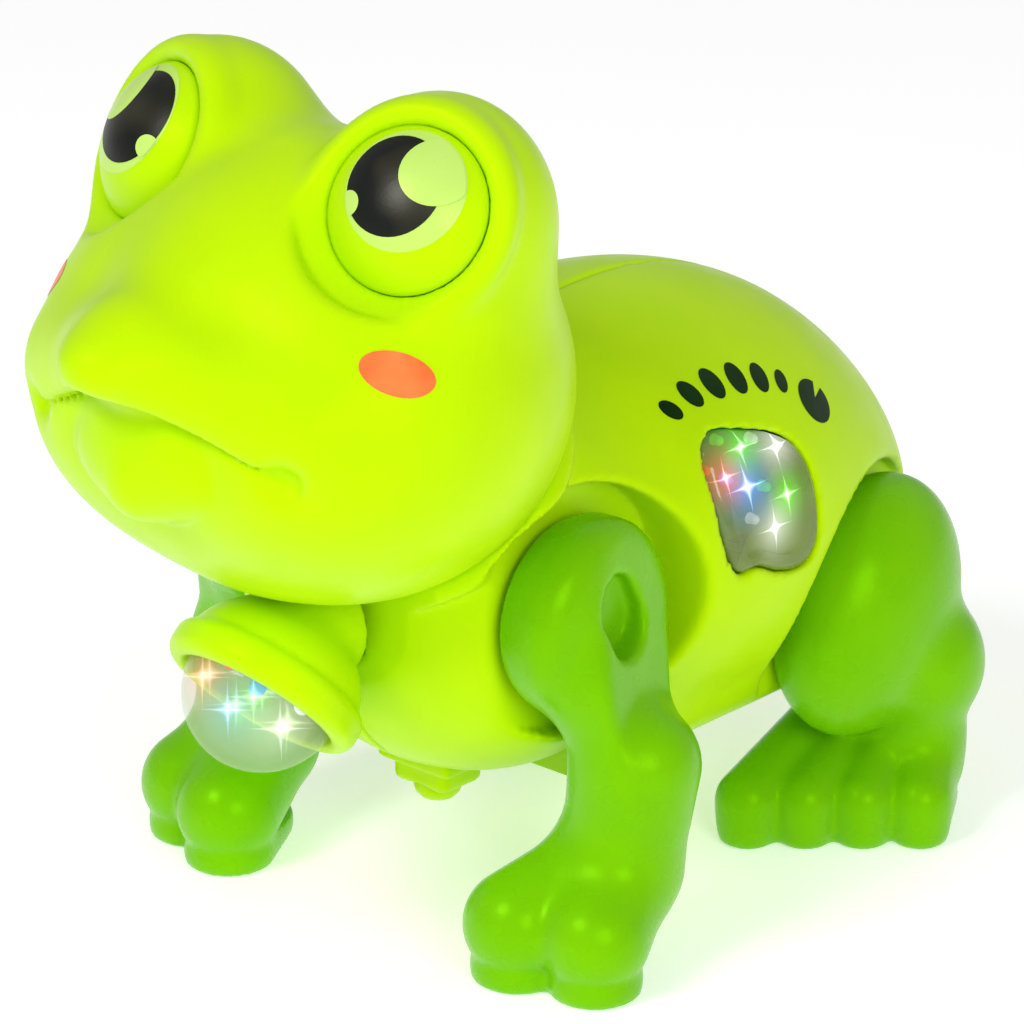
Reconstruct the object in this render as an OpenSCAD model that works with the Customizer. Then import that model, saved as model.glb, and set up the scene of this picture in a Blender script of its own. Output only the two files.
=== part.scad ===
// Battery-powered crawling frog: a moulded plastic toy with a motor, four swinging legs,
// coloured lights behind clear windows, a chin lamp and a speaker.
// Millimetres. The frog faces -Y, its left side is +X, and its feet stand on Z = 0.

/* [Body] */
// Width of the body across the flanks
body_w = 86; // [84:1:90]
// Length of the body from chest to rump
body_l = 112; // [111:1:114]
// Height of the body from belly to back
body_h = 78; // [77:1:80]
// Wall thickness of the moulded shells
wall = 2; // [1.8:0.1:2.2]

/* [Head] */
// Width of the head across the cheeks
head_w = 89; // [86:1:91]
// Height of the head without the eye mounds
head_h = 74; // [72:1:76]
// Width of one eye mound
mound_w = 36; // [34:1:38]
// Radius of an eye dome
eye_r = 13; // [12.4:0.2:13.4]

/* [Legs] */
// Radius of the round hub at the top of a front leg
hub_r = 16.6; // [15.6:0.2:16.8]
// Swing of every leg each way from the middle, in degrees
leg_swing = 12; // [8:1:12]
// Radius of the shaft that carries a leg
shaft_r = 4; // [3.6:0.1:4.2]
// Width of the square drive on the end of a leg shaft
square_w = 5.2; // [4.8:0.1:5.4]

/* [Chin lamp] */
// Radius of the lamp hood's rolled rim
hood_r = 16.6; // [16:0.2:17]
// Radius of the clear lamp dome
dome_r = 13.2; // [12.8:0.1:13.3]

/* [Gears] */
// Gear module, the pitch diameter for each tooth
gear_m = 0.6; // [0.6:0.01:0.61]
// Radial clearance of every running fit
run_gap = 0.05; // [0.03:0.01:0.08]

/* [Batteries] */
// Diameter of one AA cell
cell_d = 14.2; // [13.8:0.1:14.4]
// Length of one AA cell
cell_l = 50.2; // [49.5:0.1:50.4]

/* [Hidden] */
// Shift that puts the middle of the whole toy on the origin
mid_y = 7.44;
free_gap = 0.4;
side_gap = 0.3;
tiny = 0.05;

// Organic surfaces: each blob is [centre, radii], and neighbours melt together over the blend
body_blobs = [
    [[0, 20, 60], [body_w / 2, body_l / 2, body_h / 2]],
    [[0, 44.5, 51], [body_w * 0.43, 39, 28]],
    [[0, -18, 58], [body_w * 0.465, 26, 34]]
];
body_blend = 10;
body_core = [0, 10, 59];
head_blobs = [
    [[0, -47, 100], [head_w / 2, 37.5, head_h / 2]],
    [[17, -55, 96], [26, 27, 23]],
    [[-17, -55, 96], [26, 27, 23]],
    [[0, -67, 116], [15, 24, 14]],
    [[0, -87, 110], [11, 10.5, 8.5]],
    [[0, -74, 92], [20, 16.5, 9.5]],
    [[24, -43.5, 127.5], [mound_w / 2, 19, 20.5]],
    [[-24, -43.5, 127.5], [mound_w / 2, 19, 20.5]]
];
head_blend = 7;
head_core = [0, -50, 104];

// Leg pivots, [y, z], and where the recess floors lie, as a distance from the middle plane
front_pivot = [-20, 60.5];
rear_pivot = [52, 50];
front_recess = [-18.5, 58.5];
rear_recess = [50.5, 41.5];
front_recess_r = 21;
rear_recess_r = 23.4;
front_floor = 28;
rear_floor = 28;
hub_face = front_floor + 1.4;
thigh_face = rear_floor + 0.6;

// Gear train between two side plates
plate_in = 13;
plate_t = 2;
plate_out = plate_in + plate_t;
pinion_z = 9;
wheel_z = 30;
small_z = 10;
crank_z = 36;
lever = 20;
lever_a = 25;
crank_throw = lever * sin(leg_swing);
function polar(p, r, a) = [p[0] + r * cos(a), p[1] + r * sin(a)];
function mesh_gap(a, b) = gear_m * (a + b) / 2;
crank_c = polar(front_pivot, lever, lever_a);
gear2_dir = 40;
gear2_c = polar(crank_c, mesh_gap(crank_z, small_z), gear2_dir);
gear1_dir = -20;
gear1_c = polar(gear2_c, mesh_gap(wheel_z, small_z), gear1_dir);
motor_dir = -80;
motor_c = polar(gear1_c, mesh_gap(wheel_z, pinion_z), motor_dir);
axle_r = 1;
crank_shaft_r = 1.5;
// Planes of the train, as distances along X
wheel1_x = 8.5;
wheel2_x = 4.5;
crank_gear_x = 0.5;
gear_t = 3;
crank_x = plate_out + 0.5;
crank_t = 2.5;
crank_disc_r = 7;
rocker_x = 20;
rocker_t = 2.5;
link_x = rocker_x + rocker_t + side_gap;
link_t = 2;
link_arm = 12;
link_a = 60;
link_pin_r = 1.5;
pin_end = link_x + link_t + 0.5;

// Batteries, tray and door
tray_l = 61.5;
tray_w = 49;
tray_y = 20.75;
tray_top = 43;
door_z = 23.6;
door_t = 2;
tray_wall = 1.6;
// The front wall is thick enough to take the door's screw
front_wall = 5.1;
cell_z = door_z + door_t + 1 + cell_d / 2;
cell_y = tray_y - tray_l / 2 + front_wall + 0.6;
door_screw_y = tray_y - tray_l / 2 + 3.4;
cell_pitch = cell_d + 0.6;

// Power button under the chest
button_y = -18.5;
button_r = 4.1;
housing_z = 19.4;

// Chin lamp, along an axis that points forward and down
lamp_c = [0, -59.5, 48.5];
lamp_tilt = 43;

// Side window: middle of the clear pane on the flank
window_y = 19;
window_z = 70;

// Speaker under the rump
speaker_c = [0, 62.5, 38.5];
speaker_tilt = 30;
speaker_r = 10.5;

screw_r = 1.25;
screw_hole = 1.32;
// Shell screws, [y, z, half-width of the shell there]
shell_screws_at = [[22, 91.4, 20], [48, 84, 28], [68, 71, 27], [-31, 38, 23], [73, 50, 24]];
shell_seat = 4;
// Head screws, as directions from the middle of the head
head_screw_dirs = [[17.6, 34.4, -16.4], [18.2, 10.1, -35.4]];
// How far from the middle of the head its screws start
head_screw_in = 30;

leg_tint = "#3FA000";
lime = "#B4EE00";

// ---------- organic surfaces ----------

function per(a, b) = [a[0] / b[0], a[1] / b[1], a[2] / b[2]];
function blob_far(p, b) =
    let (q = per(p - b[0], b[1]), k0 = norm(q), k1 = norm(per(q, b[1])))
    k0 * (k0 - 1) / max(k1, 0.0001);
function melt(a, b, k) =
    let (h = max(0, min(1, 0.5 + 0.5 * (b - a) / k))) b + (a - b) * h - k * h * (1 - h);
function far(p, blobs, k, i = 0) =
    i == len(blobs) - 1 ? blob_far(p, blobs[i])
    : melt(blob_far(p, blobs[i]), far(p, blobs, k, i + 1), k);
// Distance from the core to the surface along a direction, found by halving the span
function reach(core, dir, blobs, k, grow, lo = 5, hi = 110, n = 13) =
    let (m = (lo + hi) / 2)
    n == 0 ? m
    : far(core + m * dir, blobs, k) > grow ? reach(core, dir, blobs, k, grow, lo, m, n - 1)
    : reach(core, dir, blobs, k, grow, m, hi, n - 1);
function ray(a, e) = [cos(e) * sin(a), sin(e), cos(e) * cos(a)];

// A closed skin round the core, grown outwards by grow, with rings about the Y axis
module skin(core, blobs, k, grow, around, rings) {
    function on(a, e) = let (d = ray(a, e)) core + d * reach(core, d, blobs, k, grow);
    ring_points = [for (i = [1 : rings - 1]) for (j = [0 : around - 1])
        on(j * 360 / around, -90 + i * 180 / rings)];
    points = concat(ring_points, [on(0, -90), on(0, 90)]);
    front = len(ring_points);
    back = front + 1;
    last = (rings - 2) * around;
    sides = [for (i = [0 : rings - 3]) for (j = [0 : around - 1])
        let (a = i * around + j, b = i * around + (j + 1) % around)
        each [[a, b + around, b], [a, a + around, b + around]]];
    caps = [for (j = [0 : around - 1])
        each [[front, j, (j + 1) % around], [back, last + (j + 1) % around, last + j]]];
    polyhedron(points, concat(sides, caps), convexity = 4);
}
module body_skin(grow) skin(body_core, body_blobs, body_blend, grow, 32, 16);
module head_skin(grow) skin(head_core, head_blobs, head_blend, grow, 32, 20);

// ---------- small shared shapes ----------

// Stands the whole toy over the origin
module stand() translate([0, mid_y, 0]) children();
// A cylinder along X from x0 to x1 at [y, z]
module rod(x0, x1, at, r, fn = 48)
    translate([x0, at[0], at[1]]) rotate([0, 90, 0]) cylinder(h = x1 - x0, r = r, $fn = fn);
module block(x0, x1, y0, y1, z0, z1) translate([x0, y0, z0]) cube([x1 - x0, y1 - y0, z1 - z0]);
// Puts a flat outline drawn in Y and Z at x, with thickness t along X
module sheet_x(x, t)
    translate([x, 0, 0]) rotate([90, 0, 90]) linear_extrude(t) children();
module spot(at, r, fn = 32) translate(at) circle(r = r, $fn = fn);
// A ball squashed to three radii, as one rounded facet shape
module lump(at, r, fn = 20) hull() translate(at) scale(r) sphere(r = 1, $fn = fn);
module limb(a, ra, b, rb, fn = 16) hull() {
    translate(a) sphere(r = ra, $fn = fn);
    translate(b) sphere(r = rb, $fn = fn);
}
module other_side(flip) {
    if (flip) mirror([1, 0, 0]) children();
    else children();
}
// A screw along X with its head at x_head and its tip further out at x_tip
module screw_x(x_head, x_tip, at, head_r = 2.8, head_t = 1.8) difference() {
    union() {
        rod(x_head, x_head + head_t, at, head_r);
        rod(x_head + head_t - tiny, x_tip, at, screw_r);
    }
    block(x_head - 1, x_head + 0.8, at[0] - 2, at[0] + 2, at[1] - 0.3, at[1] + 0.3);
    block(x_head - 1, x_head + 0.8, at[0] - 0.3, at[0] + 0.3, at[1] - 2, at[1] + 2);
}
// Along the lamp's axis, with +Z out of its mouth
module lamp_frame() translate(lamp_c) rotate([90 + lamp_tilt, 0, 0]) children();
module speaker_frame() translate(speaker_c) rotate([180 + speaker_tilt, 0, 0]) children();

// ---------- moulded shells ----------

// Edge of the side pane at angle a, grown by g: a rounded block with a wavy lower edge
function soft(v) = sign(v) * pow(abs(v), 0.62);
function pane_edge(a, g) =
    [window_y + (11 + g) * soft(cos(a)),
     window_z + (12.5 + g) * soft(sin(a)) + (sin(a) < 0 ? 1.2 * sin(3 * a) * sin(a) : 0)];
module pane_outline(g) polygon([for (i = [0 : 31]) pane_edge(i * 11.25, g)]);
function flank(p) = reach([0, p[0], p[1]], [1, 0, 0], body_blobs, body_blend, 0);
// The clear pane follows the flank, a little proud of it
module pane() {
    around = 32;
    rings = 3;
    middle = [window_y, window_z];
    function at(i, j) = middle + (pane_edge(j * 360 / around, 0) - middle) * i / rings;
    function face(lift) = concat(
        [for (i = [1 : rings]) for (j = [0 : around - 1]) let (p = at(i, j))
            [flank(p) + lift - (i == rings ? 0.4 : 0), p[0], p[1]]],
        [[flank(middle) + lift, middle[0], middle[1]]]);
    n = rings * around + 1;
    edge = (rings - 1) * around;
    function net(o, out) = [for (j = [0 : around - 1]) let (k = (j + 1) % around) each concat(
        [for (i = [0 : rings - 2]) each let (a = o + i * around + j, b = o + i * around + k)
            out ? [[a, b, b + around], [a, b + around, a + around]]
            : [[b, a, b + around], [b + around, a, a + around]]],
        [out ? [o + n - 1, o + k, o + j] : [o + n - 1, o + j, o + k]])];
    rim = [for (j = [0 : around - 1]) let (k = (j + 1) % around)
        each [[edge + j, n + edge + k, n + edge + j], [edge + j, edge + k, n + edge + k]]];
    polyhedron(concat(face(0.4), face(-1.2)), concat(net(0, true), net(n, false), rim));
}

// What a shell half leaves open: recesses, windows, tray, lamp stalk and button
module recess(grow_r, depth) {
    rod(front_floor - depth, body_w, front_recess, front_recess_r + grow_r, 48);
    rod(rear_floor - depth, body_w, rear_recess, rear_recess_r + grow_r, 48);
}
module tray_cut(g)
    block(-tray_w / 2 - g, tray_w / 2 + g, tray_y - tray_l / 2 - g, tray_y + tray_l / 2 + g,
        0, tray_top + g);
module lamp_stalk(r, back)
    translate([0, -53, 54]) rotate([-90, 0, 0]) cylinder(h = back, r = r, $fn = 48);
module speaker_holes() speaker_frame()
    for (ring = [0 : 1]) for (i = [0 : 5 + 6 * ring])
        rotate([0, 0, 15 + i * 60 / (1 + ring)]) translate([3.5 + 4 * ring, 0, -6])
            cylinder(h = 24, r = 0.9, $fn = 8);
// A tapered screw post on the split line, with two gussets that run out to the wall
module post(at, reach_x) {
    rod(0, reach_x, at, 3.2, 14);
    for (side = [-1, 1]) hull() {
        block(3, 4, at[0] - 0.6, at[0] + 0.6, at[1] - 2, at[1] + 2);
        block(reach_x - 2, reach_x, at[0] - 0.6, at[0] + 0.6,
            at[1] + side * 4 - 1, at[1] + side * 4 + 1);
    }
}
module head_post(d) {
    way = d / norm(d);
    translate(head_blobs[0][0] + way * 38) look(way) cylinder(h = 7.4, r = 2.8, $fn = 14);
    // Web from the post out to the flank
    translate(head_blobs[0][0] + way * 42) block(0, 16, -0.8, 0.8, -2.4, 0.6);
}
// Turns +Z to a direction
module look(d) rotate([0, acos(d[2] / norm(d)), atan2(d[1], d[0])]) children();

module half_shell() difference() {
    union() {
        difference() {
            body_skin(0);
            difference() {
                body_skin(-wall);
                recess(wall, wall);
            }
            recess(0, 0);
        }
        intersection() {
            body_skin(-wall / 2);
            difference() {
                union() {
                    for (p = shell_screws_at) post([p[0], p[1]], p[2]);
                    for (d = head_screw_dirs) head_post(d);
                }
                recess(0, 0);
            }
        }
    }
    head_skin(free_gap);
    tray_cut(side_gap);
    block(-body_w, 0, -body_l, body_l, 0, 2 * body_h);
    sheet_x(26, body_w) pane_outline(0.25);
    lamp_stalk(6.25, 20);
    rod(0, body_w, front_pivot, 5.8, 24);
    rod(0, body_w, rear_pivot, 5.8, 24);
    block(-8.3, 8.3, button_y - 6.8, button_y + 6.8, 0, 33);
    speaker_holes();
    for (d = head_screw_dirs) let (way = d / norm(d))
        translate(head_blobs[0][0] + way * head_screw_in) look(way)
            cylinder(h = 24, r = screw_hole + 0.2, $fn = 12);
}
module body_shell_left() color(lime) stand() difference() {
    half_shell();
    for (p = shell_screws_at) rod(-1, 9.5, p, screw_hole, 12);
}
module body_shell_right() color(lime) stand() mirror([1, 0, 0]) difference() {
    half_shell();
    for (p = shell_screws_at) {
        rod(-1, shell_seat + 1, p, screw_hole + 0.1, 12);
        rod(shell_seat, body_w, p, 3, 16);
    }
}

// Eye seats, with +Z out of the middle of the eye
eye_sink = 12.6;
eye_tilt = 64;
eye_yaw = 18.7;
eye_high = 6.2;
eye_ball = (eye_r * eye_r + eye_high * eye_high) / (2 * eye_high);
module eye_frame() {
    translate(head_blobs[6][0]) rotate([eye_tilt, 0, eye_yaw]) translate([0, 0, eye_sink]) children();
}
module eye_seat(r, deep) for (flip = [false, true])
    other_side(flip) eye_frame() translate([0, 0, -deep]) cylinder(h = 20, r = r, $fn = 32);
// Short stiffening ribs inside the jaw, each with a tapered root
module head_ribs() for (i = [-3.5 : 3.5]) hull() {
    block(i * 6 - 0.7, i * 6 + 0.7, -66, -34, 60, 80);
    block(i * 6 - 0.5, i * 6 + 0.5, -67, -33, 60, 79);
}
module head_shell() color(lime) stand() difference() {
    union() {
        difference() {
            head_skin(0);
            difference() {
                head_skin(-wall);
                eye_seat(eye_r + wall, 4.2);
            }
        }
        intersection() {
            difference() {
                head_skin(-wall / 2);
                head_skin(-wall - 3);
            }
            head_ribs();
        }
    }
    eye_seat(eye_r + 0.2, 2.2);
    for (flip = [false, true]) other_side(flip) {
        eye_frame() translate([0, 0, -9]) cylinder(h = 9, r = 2.2, $fn = 24);
        for (d = head_screw_dirs) let (way = d / norm(d))
            translate(head_blobs[0][0] + way * head_screw_in) look(way)
                cylinder(h = 24, r = screw_hole, $fn = 20);
    }
}
module eye() color(lime) eye_frame() {
    intersection() {
        translate([0, 0, eye_high - eye_ball]) sphere(r = eye_ball, $fn = 64);
        translate([0, 0, -2]) cylinder(h = 12, r = eye_r, $fn = 64);
    }
    translate([0, 0, -8]) cylinder(h = 7, r = 2, $fn = 32);
}
module eye_left() stand() eye();
module eye_right() stand() mirror([1, 0, 0]) eye();

module lamp_hood() color(lime) stand() difference() {
    union() {
        lamp_frame() {
            rotate_extrude($fn = 96)
                polygon([[3, -12], [8, -12], [12, -8.8], [14.1, -4], [15, 0], [hood_r - 1, 2.4],
                    [hood_r - 3.1, 2.4], [dome_r + 0.2, 0], [12.4, -3.5], [10.8, -7.8], [7.4, -10.6],
                    [3, -10.6]]);
            translate([0, 0, 2.4]) rotate_extrude($fn = 96)
                translate([hood_r - 1.6, 0]) circle(r = 1.6, $fn = 32);
        }
        lamp_stalk(6, 12.5);
    }
    lamp_stalk(4.4, 13);
    lamp_frame() translate([0, 0, -10.6]) cylinder(h = 10.7, r1 = 7.4, r2 = 13.2, $fn = 64);
    lamp_frame() cylinder(h = 5, r = dome_r + 0.15, $fn = 64);
}
module lamp_lens() color([0.9, 1, 0.95, 0.4]) stand() lamp_frame() {
    difference() {
        union() {
            intersection() {
                translate([0, 0, 1.2]) sphere(r = dome_r, $fn = 64);
                translate([0, 0, 1.2]) cylinder(h = 20, r = 20, $fn = 64);
            }
            translate([0, 0, 0.1]) cylinder(h = 1.15, r = dome_r, $fn = 64);
        }
        translate([0, 0, 1.2]) sphere(r = dome_r - 1.1, $fn = 64);
        translate([0, 0, -1]) cylinder(h = 2.2, r = dome_r - 1.1, $fn = 64);
    }
}
led_r = 2.4;
module led(h = 3) {
    cylinder(h = h, r = led_r, $fn = 32);
    translate([0, 0, h]) sphere(r = led_r, $fn = 32);
    cylinder(h = 0.8, r = led_r + 0.4, $fn = 32);
}
module lamp_board() color("ivory") stand() lamp_frame() difference() {
    translate([0, 0, -2.4]) cylinder(h = 1.4, r = 12.2, $fn = 64);
    translate([0, 0, -3]) cylinder(h = 3, r = 1, $fn = 32);
}
module lamp_leds() color("white") stand() lamp_frame()
    for (i = [0 : 3]) rotate([0, 0, 40 + 90 * i]) translate([6.8, 0, -1]) led();

module window_left() color([0.9, 1, 0.95, 0.4]) stand() pane();
module window_right() color([0.9, 1, 0.95, 0.4]) stand() mirror([1, 0, 0]) pane();
board_x = 31;
side_led_at = [[-4.4, 8.6], [4.5, 6.5], [-7.6, 4.2], [-1.8, 1], [8.2, -3], [5.3, -8]];
module light_board() color("#2E6B3A") difference() {
    block(board_x - 1.4, board_x, window_y - 10, window_y + 10.6, window_z - 10.5, window_z + 11);
    for (y = [-5.5, 4])
        rod(board_x - 3, board_x + 1, [window_y + y, window_z - 9], 0.8, 32);
}
module side_leds() color("white") for (p = side_led_at)
    translate([board_x, window_y + p[0], window_z + p[1]]) rotate([0, 90, 0]) scale(0.75) led();
module light_board_left() stand() light_board();
module light_board_right() stand() mirror([1, 0, 0]) light_board();
module side_leds_left() stand() side_leds();
module side_leds_right() stand() mirror([1, 0, 0]) side_leds();

// ---------- batteries ----------

module tray_box(x, y0, y1, z0, z1) block(-x, x, tray_y + y0, tray_y + y1, z0, z1);
module battery_tray() color("#A6DC00") stand() difference() {
    tray_box(tray_w / 2, -tray_l / 2, tray_l / 2, door_z, tray_top);
    tray_box(tray_w / 2 - tray_wall, -tray_l / 2 + front_wall, tray_l / 2 - tray_wall,
        door_z + door_t + 0.4, tray_top - tray_wall);
    translate([0, door_screw_y, door_z]) cylinder(h = 8, r = screw_hole, $fn = 32);
    tray_box(tray_w / 2 - 0.8, -tray_l / 2 + 0.8, tray_l / 2 - 0.8, door_z - 1, door_z + door_t + 0.5);
}
module battery_door() color(lime) stand() difference() {
    tray_box(tray_w / 2 - 1, -tray_l / 2 + 1, tray_l / 2 - 1, door_z, door_z + door_t);
    for (i = [-2 : 2]) tray_box(9, i * 2.4 - 20, i * 2.4 - 19, door_z - 1, door_z + 0.6);
    translate([0, door_screw_y, door_z - 1]) cylinder(h = 4, r = screw_hole, $fn = 32);
    translate([0, door_screw_y, door_z - 1]) cylinder(h = 1.7, r = 2.5, $fn = 32);
}
module battery_door_screw() color("silver") stand() translate([0, door_screw_y, door_z])
    difference() {
        union() {
            translate([0, 0, -0.4]) cylinder(h = 1, r = 2.3, $fn = 48);
            cylinder(h = 6.5, r = screw_r, $fn = 32);
        }
        translate([-1.6, -0.3, -1]) cube([3.2, 0.6, 1.2]);
        translate([-0.3, -1.6, -1]) cube([0.6, 3.2, 1.2]);
    }
spring_back = tray_y + tray_l / 2 - tray_wall - 0.5;
spring_room = spring_back - cell_y - cell_l;
// The middle cell lies the other way round
module cell(i) color(i == 1 ? "#30343A" : "#C88A3A") stand()
    translate([(i - 2) * cell_pitch, i == 2 ? spring_back - cell_l : cell_y + cell_l, cell_z])
        rotate([i == 2 ? -90 : 90, 0, 0]) {
            cylinder(h = cell_l - 1.2, r = cell_d / 2, $fn = 64);
            cylinder(h = cell_l, r = 2.6, $fn = 32);
        }
module cell_1() cell(1);
module cell_2() cell(2);
module cell_3() cell(3);
module contact_plates() color("silver") stand()
    for (i = [1 : 3]) for (y = [cell_y - 0.45, spring_back + 0.05])
    translate([(i - 2) * cell_pitch, y, cell_z]) block(-5, 5, 0, 0.4, -5, 5);
// One conical contact spring as a swept wire
module coil(r0, r1, wire, turns, high, per_turn = 10, sides = 5) {
    steps = turns * per_turn;
    function on(i, j) = let (t = i / steps, a = i * 360 / per_turn, b = j * 360 / sides,
        r = r0 + (r1 - r0) * t + wire * cos(b))
        [r * cos(a), r * sin(a), wire + (high - 2 * wire) * t + wire * sin(b)];
    points = [for (i = [0 : steps]) for (j = [0 : sides - 1]) on(i, j)];
    walls = [for (i = [0 : steps - 1]) for (j = [0 : sides - 1])
        let (a = i * sides + j, b = i * sides + (j + 1) % sides)
        each [[a, b, b + sides], [a, b + sides, a + sides]]];
    ends = [[for (j = [sides - 1 : -1 : 0]) j], [for (j = [0 : sides - 1]) steps * sides + j]];
    polyhedron(points, concat(walls, ends), convexity = 8);
}
module contact_springs() color("silver") stand() for (i = [1 : 3])
    translate([(i - 2) * cell_pitch, i == 2 ? cell_y : spring_back, cell_z])
        rotate([i == 2 ? -90 : 90, 0, 0]) translate([0, 0, tiny])
            coil(4.2, 2.6, 0.3, 3, spring_room - 2 * tiny);

// ---------- power button ----------

module button_housing() color(lime) stand() translate([0, button_y, 0]) difference() {
    union() {
        block(-8, 8, -6.5, 6.5, 23.4, 26);
        block(-6, 6, -5, 5, housing_z, 23.5);
        block(-10, 10, -6.8, 6.8, 29.2, 31);
        block(-6, 6, -6.4, 6.4, 25.9, 31);
    }
    translate([0, 0, housing_z - 1]) cylinder(h = 20, r = button_r + 0.3, $fn = 48);
}
module power_button() color("#A6DC00") stand() translate([0, button_y, 0]) {
    translate([0, 0, 18.1]) cylinder(h = 8, r = button_r, $fn = 48);
    intersection() {
        translate([0, 0, 22.6]) sphere(r = 6.4, $fn = 48);
        translate([0, 0, 10]) cylinder(h = 9, r = button_r, $fn = 48);
    }
    translate([0, 0, 26]) cylinder(h = 3.4, r = 1.4, $fn = 32);
}
module button_spring() color("silver") stand() translate([0, button_y, 26.2]) coil(2.4, 2.4, 0.3, 3, 5.2);
module power_switch() color("#303030") stand() translate([0, button_y, 0]) {
    block(-5, 5, -4, 4, 31.6, 36.4);
    translate([0, 0, 31]) cylinder(h = 1, r = 1.6, $fn = 32);
    for (x = [-3, 0, 3]) block(x - 0.3, x + 0.3, -0.2, 0.2, 36, 39.4);
}

// ---------- electronics ----------

module speaker() color("#2A2A2C") stand() speaker_frame() difference() {
    union() {
        cylinder(h = 1.6, r = speaker_r, $fn = 64);
        translate([0, 0, -3.4]) cylinder(h = 3.5, r1 = 6.8, r2 = speaker_r - 1, $fn = 64);
        translate([0, 0, -7.4]) cylinder(h = 4.1, r = 6.8, $fn = 64);
    }
    translate([0, 0, 0.4]) cylinder(h = 3, r1 = 3, r2 = speaker_r - 1.4, $fn = 64);
}
board_z = 45;
module main_board() color("#1F6B3C") stand() difference() {
    block(-16, 16, 0, 42, board_z, board_z + 1.4);
    for (x = [-13.5, 13.5]) for (y = [3, 39])
        translate([x, y, board_z - 1]) cylinder(h = 4, r = 1.3, $fn = 32);
}
module board_parts() color("#202020") stand() {
    block(-4, 5, 14, 22, board_z + 1.4, board_z + 3.2);
    block(-12, -7, 28, 34, board_z + 1.4, board_z + 4);
    for (x = [8, 12]) translate([x, 32, board_z + 1.4]) cylinder(h = 5, r = 1.8, $fn = 32);
    for (i = [0 : 4]) block(-12, -10.4, 6 + i * 3, 6.8 + i * 3, board_z + 1.4, board_z + 2);
}

// ---------- gearbox ----------

train = [front_pivot, crank_c, gear2_c, gear1_c, motor_c];
train_r = [6.6, 5.5, 4.5, 4.5, 9.4];
post_at = [[-25.5, 54.5], [-6, 54.8], [9.4, 58.5], [31.6, 68.6]];
module plate_outline() difference() {
    union() {
        hull() for (i = [0 : 4]) spot(train[i], train_r[i]);
        for (p = post_at) spot(p, 2.6);
    }
}
module gear_plate(outer) difference() {
    union() {
        sheet_x(plate_in, plate_t) plate_outline();
        rod(plate_in - 1.5, plate_out, front_pivot, 6, 64);
        rod(plate_in - 1, plate_out, crank_c, 3.2, 64);
        for (p = post_at) rod(outer ? 0.1 : 0, plate_in + tiny, p, 2.4, 48);
    }
    rod(plate_in - 4, plate_out + 1, front_pivot, shaft_r + run_gap, 64);
    rod(plate_in - 4, plate_out + 1, crank_c, crank_shaft_r + run_gap, 64);
    rod(plate_in - 4, plate_out + 1, gear1_c, axle_r, 32);
    rod(plate_in - 4, plate_out + 1, gear2_c, axle_r, 32);
    for (p = post_at) rod(-1, plate_out + 1, p, 0.9, 32);
    rod(plate_in - 4, plate_out + 1, motor_c, 2.2, 32);
}
module gear_plate_left() color("white") stand() gear_plate(true);
module gear_plate_right() color("white") stand() mirror([1, 0, 0]) gear_plate(false);
module gearbox_screws() color("silver") stand() for (p = post_at) {
    rod(plate_out + 0.02, plate_out + 1.4, p, 1.7, 32);
    rod(-8, plate_out + 0.1, p, 0.86, 32);
}
module gear_axles() color("silver") stand() for (p = [gear1_c, gear2_c])
    rod(-plate_out, plate_out, p, axle_r, 32);
function tooth(n, i, r, f, a0) = let (a = a0 + (i + f) * 360 / n) [r * cos(a), r * sin(a)];
module gear_outline(n, a0) {
    root = gear_m * (n / 2 - 1.15);
    tip = gear_m * (n / 2 + 0.85);
    mid = gear_m * n / 2;
    polygon([for (i = [0 : n - 1]) each [
        tooth(n, i, root, -0.31, a0), tooth(n, i, mid, -0.21, a0), tooth(n, i, tip, -0.1, a0),
        tooth(n, i, tip, 0.1, a0), tooth(n, i, mid, 0.21, a0), tooth(n, i, root, 0.31, a0)]]);
}
module gear(at, x, t, n, a0)
    sheet_x(x, t) translate(at) gear_outline(n, a0);
// Each gear has a tooth towards the next one, which has a gap there
pinion_a = motor_dir + 180;
wheel1_a = motor_dir + 180 / wheel_z;
small1_a = gear1_dir + 180;
wheel2_a = gear1_dir + 180 / wheel_z;
small2_a = gear2_dir + 180;
crank_gear_a = gear2_dir + 180 / crank_z;
module motor() color("silver") stand() difference() {
    intersection() {
        rod(-12, 7.6, motor_c, 7.75, 64);
        block(-13, 9, motor_c[0] - 8, motor_c[0] + 8, motor_c[1] - 6.1, motor_c[1] + 6.1);
    }
    rod(-11, 9, motor_c, axle_r + run_gap, 32);
    for (y = [-4.5, 4.5]) translate([0, motor_c[0] + y, motor_c[1]])
        block(-9, -4, -1, 1, 5.4, 7);
}
module motor_shaft() color("silver") stand() rod(-10.6, 12.4, motor_c, axle_r, 32);
module motor_pinion() color("#E8D070") stand() difference() {
    gear(motor_c, 8, 4, pinion_z, pinion_a);
    rod(7, 13, motor_c, axle_r, 32);
}
module gear_1() color("white") stand() difference() {
    union() {
        gear(gear1_c, wheel1_x, gear_t, wheel_z, wheel1_a);
        gear(gear1_c, wheel2_x - 0.4, wheel1_x - wheel2_x + 0.4 + tiny, small_z, small1_a);
    }
    rod(-1, plate_in, gear1_c, axle_r + run_gap, 32);
}
module gear_2() color("#FFE0E0") stand() difference() {
    union() {
        gear(gear2_c, wheel2_x, gear_t, wheel_z, wheel2_a);
        gear(gear2_c, crank_gear_x - 0.4, wheel2_x - crank_gear_x + 0.4 + tiny, small_z, small2_a);
        rod(-6, crank_gear_x - 0.3, gear2_c, 2, 32);
    }
    rod(-7, plate_in, gear2_c, axle_r + run_gap, 32);
}
module crank_gear() color("white") stand() difference() {
    union() {
        gear(crank_c, crank_gear_x, gear_t, crank_z, crank_gear_a);
        rod(-5, 6, crank_c, 3, 48);
    }
    rod(-6, 7, crank_c, crank_shaft_r, 32);
}
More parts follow.
